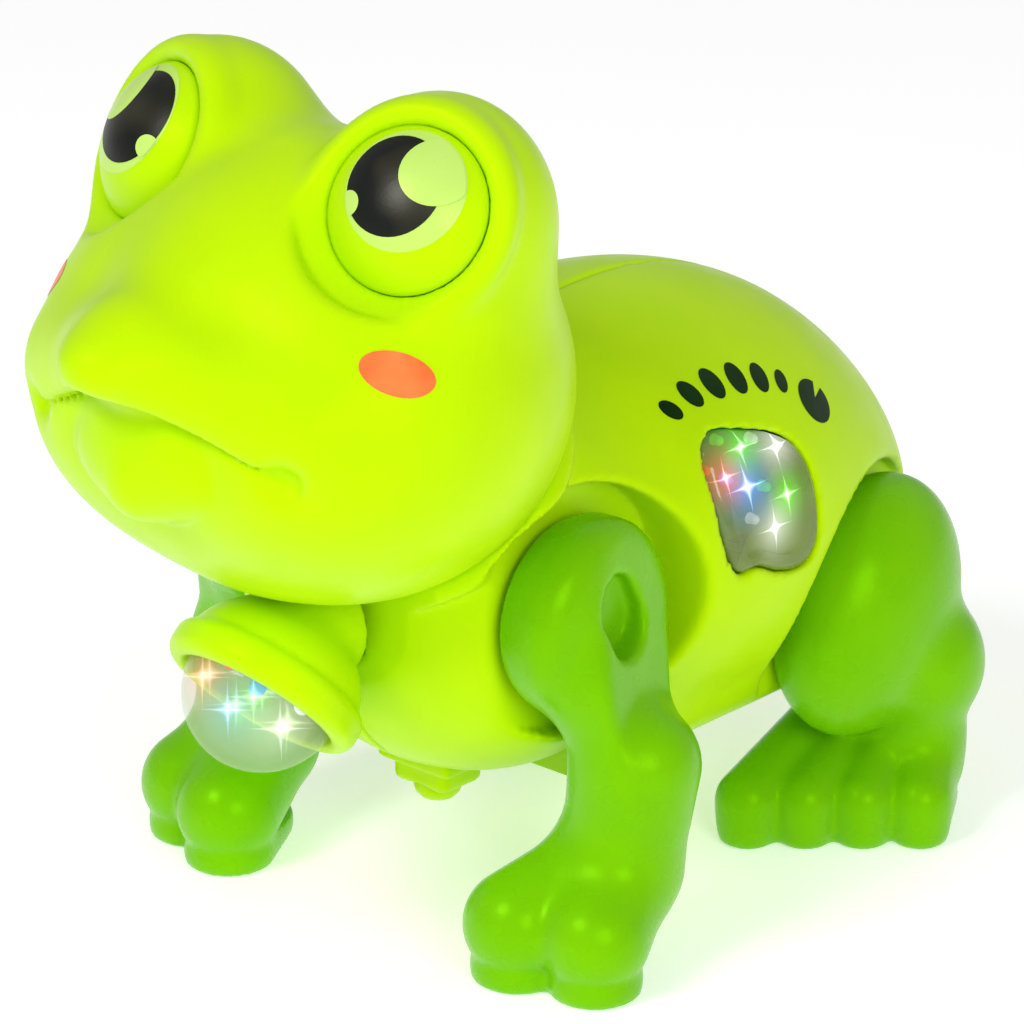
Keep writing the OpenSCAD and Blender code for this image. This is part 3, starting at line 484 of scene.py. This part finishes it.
# ---------------------------------------------------------------- the body shells
WALL = 2.0
FRONT_RECESS, FRONT_RECESS_R, FRONT_FLOOR = (-18.5, 58.5), 21.0, 28.0
REAR_RECESS, REAR_RECESS_R, REAR_FLOOR = (50.5, 41.5), 23.4, 28.0
WINDOW_AT, WINDOW_HALF = (17.4, 69.0), (11.6, 11.4)
BOARD_AT = (19.0, 70.0)            # the middle of the lamp board behind each window


def soft(t):
    return math.copysign(abs(t) ** 0.62, t)


def pane_edge(a, g):
    """Edge of a side window at angle a, grown by g, as (y, z): a leaning block with one low corner."""
    c, s = math.cos(a), math.sin(a)
    y = WINDOW_AT[0] + (WINDOW_HALF[0] + g) * soft(c)
    z = WINDOW_AT[1] + (WINDOW_HALF[1] + g) * soft(s) - 0.26 * (y - WINDOW_AT[0])
    if s < 0:
        z -= 1.9 * math.exp(-((y - 8.2) / 2.6) ** 2) - 0.9 * math.exp(-((y - 13.5) / 2.5) ** 2)
    return y, z


def outline_field(P, points):
    """Signed distance in the YZ plane to a closed outline."""
    y, z = np.broadcast_arrays(P[1][0], P[2][0])
    best = np.full(y.shape, 1e9, np.float32)
    inside = np.zeros(y.shape, bool)
    for (ay, az), (by, bz) in zip(points, points[1:] + points[:1]):
        dy, dz = by - ay, bz - az
        t = np.clip(((y - ay) * dy + (z - az) * dz) / max(dy * dy + dz * dz, 1e-9), 0, 1)
        best = np.minimum(best, (y - ay - t * dy) ** 2 + (z - az - t * dz) ** 2)
        if abs(dz) > 1e-9:
            inside ^= ((az > z) != (bz > z)) & (y < ay + (z - az) * dy / dz)
    d = np.sqrt(best)
    return np.where(inside, -d, d)[None]


def body_field(P):
    Q = (np.abs(P[0]), P[1], P[2])
    d = ell(Q, (0, 20, 60), (43, 56, 39))
    d = smin(d, ell(Q, (0, 45, 51.5), (37, 39, 28.5)), 10)
    d = smin(d, ell(Q, (0, -18, 58), (40, 26, 34)), 10)
    return smin(d, brick(Q, (-29, -6, 21.8), (29, 54, 52), 11), 6)


body_lo, body_hi = (-1.6, -42, 20), (46, 86, 100)


def half_body():
    P = grid(body_lo, body_hi, CELL)
    b = body_field(P)
    h = head_field(P)
    collar = smax(b - 2.6, h - 4.2, 1.6)
    outer = smin(b, collar, 1.0)
    recess_f = rod_x(P, FRONT_RECESS, FRONT_RECESS_R, FRONT_FLOOR, 99)
    recess_r = rod_x(P, REAR_RECESS, REAR_RECESS_R, REAR_FLOOR, 99)
    cups = np.minimum(rod_x(P, FRONT_RECESS, FRONT_RECESS_R + WALL, FRONT_FLOOR - WALL, 99),
                      rod_x(P, REAR_RECESS, REAR_RECESS_R + WALL, REAR_FLOOR - WALL, 99))
    hollow = smax(b + WALL, -cups, 1.0)
    d = smax(outer, -hollow, 0.6)
    d = smax(d, -recess_f, 1.6)
    d = smax(d, -recess_r, 1.6)
    d = smax(d, -(h - 0.45), 0.8)
    d = smax(d, -brick(P, (-25, -10.3, 0), (24.8, 51.8, 43.3)), 0.6)
    window = np.maximum(outline_field(P, [pane_edge(2 * math.pi * i / 48, 0.3) for i in range(48)]), 26 - P[0])
    d = smax(d, -window, 0.6)
    stalk = np.sqrt(P[0] ** 2 + (P[2] - 54) ** 2) - 6.3
    d = smax(d, -np.maximum(stalk, P[1] + 33), 0.6)
    d = smax(d, -brick(P, (-9, -25.2, 0), (8.3, -11.8, 33)), 0.6)
    for at in (FRONT_PIVOT, REAR_PIVOT):
        d = np.maximum(d, -rod_x(P, at, 5.8, 0, 99))
    for ring_no in range(2):
        for i in range(6 * (1 + ring_no)):
            a = math.radians(15 + i * 60 / (1 + ring_no))
            r = 3.5 + 4 * ring_no
            t = math.radians(30)
            x, s = r * math.cos(a), r * math.sin(a)
            c = (x, 62.5 - s * math.cos(t), 38.5 - s * math.sin(t))
            n = (0, math.sin(t), -math.cos(t))
            q = [P[k] - c[k] for k in range(3)]
            along = sum(q[k] * n[k] for k in range(3))
            off = np.sqrt(np.maximum(sum(q[k] ** 2 for k in range(3)) - along ** 2, 0)) - 1.0
            d = np.maximum(d, -np.maximum(off, np.abs(along) - 8))
    return np.maximum(d, 0.04 - P[0])


def mirrored(name, source, material):
    me = source.data.copy()
    me.name = name
    me.transform(Matrix.Scale(-1, 4, (1, 0, 0)))
    me.flip_normals()
    me.materials.clear()
    me.materials.append(material)
    return link(bpy.data.objects.new(name, me))


body_left = sculpt("body_left", half_body(), body_lo, CELL, lime)
body_right = mirrored("body_right", body_left, lime)
for side_name, ob in (("left", body_left), ("right", body_right)):
    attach(ob, "frame")
    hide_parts("body_shell_" + side_name)

# ---------------------------------------------------------------- printed marks over each window
body_tree = skin_tree(body_left)
FLANK_OUT = Vector((0.72, 0, 0.69)).normalized()
flank_axes = ((0, 1, 0), FLANK_OUT.cross(Vector((0, 1, 0))))
ARC_MARKS = (((5.1, 85.9), (1.4, 2.3), 30), ((10.2, 87.5), (1.7, 2.8), 16), ((15.5, 87.8), (1.9, 3.1), 4),
             ((20.9, 86.9), (1.9, 3.1), -8), ((26.0, 85.1), (1.8, 2.9), -18), ((30.6, 82.6), (1.4, 2.3), -28))


def lily_pad(c, r, n=48, gap=26.0, turn=40.0):
    """A round pad with a narrow wedge cut out of it."""
    out = [(c[0] + 0.15 * r * math.cos(math.radians(turn)), c[1] + 0.15 * r * math.sin(math.radians(turn)))]
    for i in range(n + 1):
        a = math.radians(turn + gap / 2 + (360 - gap) * i / n)
        out.append((c[0] + r * math.cos(a), c[1] + r * math.sin(a)))
    return out


for side_name, side in SIDES:
    for i, (c, r, tilt) in enumerate(ARC_MARKS):
        decal("mark_%d_%s" % (i + 1, side_name), body_tree, oval((0, 0), r, tilt, 28), (30, *c), flank_axes,
              FLANK_OUT, 0.07, side, ink, 4)
    decal("pad_mark_" + side_name, body_tree, lily_pad((0, 0), 4.0), (34, 36.9, 79.8), flank_axes,
          FLANK_OUT, 0.07, side, ink, 4)


# ---------------------------------------------------------------- legs
def front_leg_field(P):
    py, pz = FRONT_PIVOT
    ring = np.sqrt((P[1] - py + 0.5) ** 2 + (P[2] - pz + 1.6) ** 2)
    hub = np.sqrt(np.maximum(ring - 11.0, 0) ** 2 + np.maximum(np.abs(P[0] - 34.4) - 1.3, 0) ** 2) - 5.6
    hub = smin(hub, cap(P, (35, py - 1.5, 60), (40, py + 1.2, 50), 10.4, 10.5), 4)
    d = smin(hub, cap(P, (40, py + 1.2, 50), (43.5, -18, 35), 10.5, 10.2), 5)
    face = 0.95 * (P[0] - 42.4) + 0.25 * (P[1] - py) + 0.17 * (P[2] - pz)
    d = smax(d, face, 2.2)
    d = np.maximum(d, 29.4 - P[0])
    d = smin(d, cap(P, (43.5, -18, 35), (41, -20, 18), 10.2, 10.4), 4)
    inner, outer = (33.0, -35.2), (45.8, -31.0)
    foot = smin(cap(P, (*inner, 9.6), (39, -22, 15), 9.0, 9.6),
                cap(P, (*outer, 9.6), (41, -20, 16), 9.0, 9.4), 2.6)
    d = smin(d, foot, 4)
    sole = smin(cap(P, (*inner, 2.5), (38.5, -25, 2.5), 7.8, 7.6),
                cap(P, (*outer, 2.5), (40, -24, 2.5), 7.8, 7.4), 1.0)
    d = np.minimum(d, np.maximum(sole, P[2] - 4.2))
    d = smax(d, -P[2], 0.8)
    q = [P[1] - py, P[2] - pz]
    t = np.clip(q[0] * 0.4 - q[1] * 0.92, -1.6, 1.6)
    bore = np.sqrt((q[0] - 0.4 * t) ** 2 + (q[1] + 0.92 * t) ** 2) - 5.4
    return smax(d, -np.maximum(bore, 37.3 - P[0]), 1.2)


TOE_STEP = (7.3, 6.6)
TOE_START = (27.4, 30.0)
THIGH_LEAN = ((1, 0, 0), (0, 0.906, -0.423), (0, 0.423, 0.906))


def rear_leg_field(P):
    thigh = ell(P, (36, 50.5, 40), (14, 18.2, 23.2), THIGH_LEAN)
    knee = ell(P, (41, 58.3, 28.7), (12, 12, 13))
    upper = smin(thigh, knee, 3)
    upper = np.maximum(upper, 28.6 - P[0])
    heel = cap(P, (40.5, 58, 22), (41.5, 58, 10), 10, 8.5)
    toes = sole = None
    for i in range(4):
        tip = (TOE_START[0] + TOE_STEP[0] * i, TOE_START[1] + TOE_STEP[1] * i)
        root = (27.5 + 4.4 * i, 50.5 + 3.7 * i)
        t = cap(P, (*tip, 7.6), (*root, 14.5), 5.7, 6.6)
        toes = t if toes is None else smin(toes, t, 1.2)
        t = cap(P, (*tip, 2.6), (*root, 2.6), 5.2, 6.4)
        sole = t if sole is None else smin(sole, t, 1.2)
    foot = smin(toes, heel, 3)
    foot = smin(foot, np.maximum(sole, P[2] - 6), 2.5)
    d = smin(upper, foot, 1.5)
    return smax(d, -P[2], 0.8)


for side_name, side in SIDES:
    for kind, field, lo, hi in (("front", front_leg_field, (22, -50, -1.6), (62, 4, 82)),
                                ("rear", rear_leg_field, (16, 18, -1.6), (62, 78, 70))):
        name = kind + "_leg_" + side_name
        if side > 0:
            P = grid(lo, hi, CELL)
            ob = sculpt(kind + "_limb_left", field(P), lo, CELL, leg_green)
        else:
            ob = mirrored(kind + "_limb_right", bpy.data.objects[kind + "_limb_left"], leg_green)
        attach(ob, kind + "_" + side_name)
        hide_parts(name)

# ---------------------------------------------------------------- chin lamp
tilt = math.radians(LAMP_TILT)
LAMP_OUT = np.array([0.0, -math.cos(tilt), -math.sin(tilt)])
board_low, board_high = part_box("lamp_board")
LAMP_AT = np.array((board_low + board_high) / 2) * 1000 - (0, MID_Y, 0) + LAMP_OUT * 1.7 + (0, 1.8, 1.4)
LAMP = turned(LAMP_OUT)
HOOD_R = 16.6
hood_lo, hood_hi = (-20, -84, 28), (20, -34, 72)
P = grid(hood_lo, hood_hi, FINE)
q = [P[i] - LAMP_AT[i] for i in range(3)]
along = sum(LAMP[2][i] * q[i] for i in range(3))
off = np.sqrt(np.maximum(sum(v * v for v in q) - along ** 2, 0))


def bowl(r, deep, at):
    k = np.sqrt((off / r) ** 2 + ((along - at) / deep) ** 2)
    return (k - 1) * min(r, deep)


crown = np.maximum(bowl(15.4, 13.0, 0.5), along - 2.0)
rim = np.sqrt((off - (HOOD_R - 2.1)) ** 2 + np.maximum(np.abs(along - 1.2) - 0.8, 0) ** 2) - 2.4
hood = smin(crown, rim, 0.8)
hood = smax(hood, -np.maximum(bowl(13.45, 9.6, 1.2), -9.0 - along), 0.6)
hood = smax(hood, -np.maximum(off - 13.35, 0.0 - along), 0.5)
stalk = np.maximum(np.sqrt(P[0] ** 2 + (P[2] - 54) ** 2) - 6.0, np.maximum(-53 - P[1], P[1] + 40.5))
stalk = np.maximum(stalk, -np.maximum(bowl(13.45, 9.6, 1.2), -9.0 - along))
neck = cap(P, (0, -53, 54.5), (0, -42, 57), 9.5, 8.5)
neck = smax(neck, -np.maximum(bowl(13.9, 10.2, 1.2), -9.0 - along), 0.5)
neck = smax(neck, 0.4 - body_field(P), 0.4)
hood = smin(smin(hood, neck, 2), stalk, 1.5)
hood = np.maximum(hood, 0.5 - head_field(P))
hood_ob = sculpt("lamp_shade", hood, hood_lo, FINE, lime)
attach(hood_ob, "frame")
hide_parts("lamp_hood")

LED_COLOURS = {"red": (1.0, 0.0, 0.0), "green": (0.08, 0.8, 0.0), "blue": (0.0, 0.22, 1.0),
               "white": (0.8, 0.8, 0.8)}
LED_PROFILE = [(0.02, 0), (2.8, 0), (2.8, 0.8), (2.4, 0.85), (2.4, 3.0)] + [
    (2.4 * math.cos(math.radians(a)), 3.0 + 2.4 * math.sin(math.radians(a))) for a in range(12, 90, 12)
] + [(0.02, 5.4)]


def led_finish(colour):
    rgb = LED_COLOURS[colour]
    m = finish_of("led_" + colour, rgb, tuple(0.8 * c for c in rgb), 0.15, coat=0.5)
    s = m.node_tree.nodes["Principled BSDF"]
    nt = m.node_tree
    core = blend_colours(nt, spread(nt, noise(nt, object_point(nt), 300), 0, 1), rgb,
                         tuple(min(1, c + 0.12) for c in rgb))
    nt.links.new(core, s.inputs["Emission Color"])
    s.inputs["Emission Strength"].default_value = 0.4
    return m


led_paint = {c: led_finish(c) for c in LED_COLOURS}


def metres(p, side=1):
    return ((p[0] * side) / 1000, (p[1] + MID_Y) / 1000, p[2] / 1000)


LAMP_LEDS = ("green", "red", "blue", "white")
lamp_spots = []
for i, colour in enumerate(LAMP_LEDS):
    a = math.radians(40 + 90 * i)
    base = LAMP_AT + LAMP[0] * 6.8 * math.cos(a) + LAMP[1] * 6.8 * math.sin(a) - LAMP_OUT
    profile = [(0.6 * r, 0.6 * z) for r, z in LED_PROFILE]
    ob = lathe("lamp_led_" + colour, profile, base, LAMP_OUT, led_paint[colour], 32)
    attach(ob, "frame")
    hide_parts("lamp_leds")
    lamp_spots.append((base - LAMP_AT, colour))

board_paint = finish_of("lamp_board_mask", (0.55, 0.6, 0.5), (0.48, 0.53, 0.43), 0.45, 400, 3000, 0.2)
board = lathe("lamp_disc", [(0.05, -1.4), (12.2, -1.4), (12.2, 0.0), (0.05, 0.0)], LAMP_AT, LAMP_OUT, board_paint)
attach(board, "frame")
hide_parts("lamp_board")

DOME_R, DOME_TALL = 13.2, 14.2
dome = [(DOME_R * math.cos(math.radians(90 * i / 24)), 1.2 + DOME_TALL * math.sin(math.radians(90 * i / 24)))
        for i in range(24)]
profile = [(DOME_R, 0.2)] + dome + [(0.02, 1.2 + DOME_TALL)]
# The painted flare stars and halos are laid on the dome where the main view, along TOWARDS, sees the lamps, and
# their rays follow that view's own level and upright directions. From other sides they don't sit over the lamps.
TOWARDS = np.array((0.625, -0.694, 0.358))
painted_glow_spots = []
for offset, colour in lamp_spots:
    tip = offset * 1.1 + LAMP_OUT * 4.5 - np.array((2.2, 0, 0))
    out = tip @ TOWARDS
    spot = LAMP_AT + LAMP_OUT * 1.2 + tip + TOWARDS * (math.sqrt(out * out - tip @ tip + DOME_R ** 2) - out)
    painted_glow_spots.append((metres(spot), LED_COLOURS[colour], 1.0))
VIEW_LEVEL, VIEW_UP = (0.743, 0.669, 0.0), (-0.24, 0.266, 0.934)
# The clear lens gets painted light: a painted halo and a painted star of flare over each lamp.
lens_clear_painted_glow = add_painted_glow(clear_plastic("lens_clear_painted_glow", 0.32, (0.50, 0.60, 0.38)), painted_glow_spots, (VIEW_LEVEL, VIEW_UP),
                      0.0095, 0.0080, 1.0)
lens = lathe("lamp_dome", profile, LAMP_AT, LAMP_OUT, lens_clear_painted_glow, 64)
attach(lens, "frame")
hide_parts("lamp_lens")

# ---------------------------------------------------------------- side windows
SIDE_LEDS = (("green", -4.4, 8.6), ("white", 4.5, 6.5), ("red", -7.6, 4.2), ("blue", -1.8, 1), ("green", 8.2, -3),
             ("white", 5.3, -8))
BOARD_X = 31.0
side_spots = {1: [], -1: []}
for side_name, side in SIDES:
    for i, (colour, dy, dz) in enumerate(SIDE_LEDS):
        at = (BOARD_X * side, BOARD_AT[0] + dy, BOARD_AT[1] + dz)
        profile = [(0.36 * r, 0.4 * z) for r, z in LED_PROFILE]
        ob = lathe("side_led_%d_%s" % (i + 1, side_name), profile, at, (side, 0, 0), led_paint[colour], 24)
        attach(ob, "frame")
        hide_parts("side_leds_" + side_name)
        side_spots[side].append((colour, dy, dz))


def flank_at(y, z):
    hit = body_flank.ray_cast(Vector((0.06, (y + MID_Y) / 1000, z / 1000)), Vector((-1, 0, 0)))[0]
    return hit.x * 1000


skin_lo, skin_hi = (20, 2, 50), (48, 36, 90)
plain = sculpt("plain_flank", body_field(grid(skin_lo, skin_hi, CELL)), skin_lo, CELL, lime)
body_flank = skin_tree(plain)
bpy.data.objects.remove(plain)


def window_pane(name, side, material, rings=8, around=64):
    """A clear pane with a rounded bead round its edge and a shallow wave across it."""
    pts, faces = [], []
    mid = np.array(WINDOW_AT)
    for i in range(rings + 1):
        for j in range(around):
            a = 2 * math.pi * j / around
            edge = np.array(pane_edge(a, -0.1))
            y, z = mid + (edge - mid) * i / rings
            k = i / rings
            lift = -0.5 + 0.25 * math.sin(y * 0.9) * (1 - k) + 1.1 * math.exp(-((k - 0.9) / 0.07) ** 2)
            pts.append((side * (flank_at(y, z) + lift), y, z))
    for j in range(around):
        y, z = pane_edge(2 * math.pi * j / around, 0.0)
        pts.append((side * (flank_at(y, z) - 1.8), y, z))
    for i in range(rings + 1):
        for j in range(around):
            k = (j + 1) % around
            f = (i * around + j, (i + 1) * around + j, (i + 1) * around + k, i * around + k)
            faces.append(f if side > 0 else f[::-1])
    ob = mesh_object(name, pts, faces, material)
    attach(ob, "frame")
    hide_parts("window_" + name.rsplit("_", 1)[1])
    return ob


# Each lamp's painted halo and painted flare star is laid on the pane where the main view sees the lamp through it,
# and mirrored on the right
for side_name, side in SIDES:
    spots = []
    for colour, dy, dz in side_spots[side]:
        y, z = BOARD_AT[0] + dy, BOARD_AT[1] + dz
        for _ in range(3):
            deep = flank_at(y, z) - BOARD_X - 6
            y, z = BOARD_AT[0] + dy - 1.2 * deep, BOARD_AT[1] + dz + 0.57 * deep
        spots.append((metres((flank_at(y, z), y, z), side), LED_COLOURS[colour], 1.25 if colour == "blue" else 1.0))
    m = clear_plastic("pane_clear_" + side_name, 0.6, (0.27, 0.36, 0.08))
    add_painted_glow(m, spots, ((0, 1, 0), (-0.2 * side, 0, 0.98)), 0.0075, 0.0062, 1.3)
    window_pane("pane_" + side_name, side, m)

# ---------------------------------------------------------------- button under the chest
low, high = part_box("button_housing")
hc = np.array((low + high) / 2) * 1000 - (0, MID_Y, 0)
h_lo, h_hi = (-12, hc[1] - 9, 17), (12, hc[1] + 9, 33)
P = grid(h_lo, h_hi, FINE)
boss = smin(brick(P, (-8, hc[1] - 6.5, 23.4), (8, hc[1] + 6.5, 31), 1.0),
            brick(P, (-6, hc[1] - 5, 19.4), (6, hc[1] + 5, 24), 1.6), 1.2)
hole = np.sqrt(P[0] ** 2 + (P[1] - hc[1]) ** 2) - 4.5
boss = smax(boss, -hole, 0.5)
boss_ob = sculpt("button_boss", boss, h_lo, FINE, lime)
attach(boss_ob, "frame")
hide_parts("button_housing")
button_profile = [(0.02, 0.0), (1.6, 0.15), (3.0, 0.7), (3.8, 1.6), (4.1, 2.6), (4.1, 9.4), (3.6, 9.9), (1.4, 9.9),
                  (1.4, 13.2), (0.02, 13.2)]
low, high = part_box("power_button")
button_at = (0, (low.y + high.y) * 500 - MID_Y, low.z * 1000)
button = lathe("push_button", button_profile, button_at, (0, 0, 1), lime, 40)
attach(button, "button")
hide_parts("power_button")

# ---------------------------------------------------------------- finishes of the pieces kept from the CAD
KEPT = {
    "lime_plastic": lime,
    "pale_lime_plastic": finish_of("pale_lime", (0.42, 0.72, 0.02), (0.38, 0.67, 0.02), 0.4),
    "clear_plastic": clear_plastic("clear_part", 0.4),
    "led_epoxy": led_paint["white"],
    "green_plastic": leg_green,
    "steel": finish_of("steel", (0.56, 0.57, 0.58), (0.45, 0.46, 0.47), 0.28, 300, 4000, 0.1, 1.0),
    "nickel_steel": finish_of("nickel_steel", (0.68, 0.66, 0.6), (0.55, 0.54, 0.5), 0.22, 300, 4000, 0.1, 1.0),
    "motor_can": finish_of("motor_can", (0.6, 0.6, 0.6), (0.5, 0.5, 0.5), 0.35, 200, 3000, 0.12, 1.0),
    "cell_wrap": finish_of("cell_wrap", (0.03, 0.035, 0.05), (0.05, 0.055, 0.07), 0.3, 120),
    "circuit_board": finish_of("circuit_board", (0.01, 0.12, 0.04), (0.02, 0.17, 0.06), 0.45, 400, 3000, 0.2),
    "black_plastic": finish_of("black_plastic", (0.012, 0.012, 0.013), (0.02, 0.02, 0.022), 0.45),
    "brass": finish_of("brass", (0.75, 0.55, 0.22), (0.66, 0.47, 0.18), 0.3, 300, 3000, 0.1, 1.0),
    "white_nylon": finish_of("white_nylon", (0.8, 0.8, 0.76), (0.74, 0.74, 0.7), 0.4),
}
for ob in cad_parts.values():
    for s in ob.material_slots:
        finish = KEPT[s.material.name]
        s.link = "OBJECT"
        s.material = finish

# ---------------------------------------------------------------- floor, light and camera
floor_paint = finish_of("floor_paint", (0.93, 0.93, 0.93), (0.91, 0.91, 0.91), 0.6, 3, 200, 0.05)
me = bpy.data.meshes.new("floor")
me.from_pydata([(-30, -30, 0), (30, -30, 0), (30, 30, 0), (-30, 30, 0)], [], [(0, 1, 2, 3)])
me.materials.append(floor_paint)
floor = link(bpy.data.objects.new("floor", me))
floor_shader = floor_paint.node_tree.nodes["Principled BSDF"]
floor_shader.inputs["Emission Color"].default_value = (1, 1, 1, 1)
floor_shader.inputs["Emission Strength"].default_value = 0.42

world = bpy.data.worlds.new("studio")
bpy.context.scene.world = world
world.use_nodes = True
world.node_tree.nodes["Background"].inputs["Color"].default_value = (1, 1, 1, 1)
world.node_tree.nodes["Background"].inputs["Strength"].default_value = 0.42


def soft_light(name, at, size, power, look_at=(0, 0, 0.06), colour=(1, 1, 1)):
    data = bpy.data.lights.new(name, "AREA")
    data.energy, data.size, data.color = power, size, colour
    ob = link(bpy.data.objects.new(name, data))
    ob.location = at
    ob.rotation_mode = "QUATERNION"
    ob.rotation_quaternion = (Vector(at) - Vector(look_at)).to_track_quat("Z", "Y")


soft_light("key", (-0.05, -0.95, 0.95), 0.45, 7)
soft_light("fill", (0.9, -0.45, 0.5), 0.45, 4)
soft_light("back", (0.2, 0.9, 0.9), 0.8, 0.3)

AZIMUTH, ELEVATION, DISTANCE, PX_PER_MM = 42.0, 21.0, 800.0, 6.0
AIM = Vector((0, MID_Y, 62))
PHOTO_WIDE, SENSOR = 1024, 36
a, e = math.radians(AZIMUTH), math.radians(ELEVATION)
back = Vector((math.sin(a) * math.cos(e), -math.cos(a) * math.cos(e), math.sin(e)))
cam = link(bpy.data.objects.new("camera", bpy.data.cameras.new("camera")))
cam.location = (AIM + back * DISTANCE) / 1000
cam.rotation_mode = "QUATERNION"
cam.rotation_quaternion = (-back).to_track_quat("-Z", "Y")
cam.data.sensor_width = SENSOR
cam.data.lens = PX_PER_MM * DISTANCE / PHOTO_WIDE * SENSOR
cam.data.clip_start, cam.data.clip_end = 0.01, 100
bpy.context.scene.camera = cam
bpy.context.scene.view_settings.view_transform = "Standard"
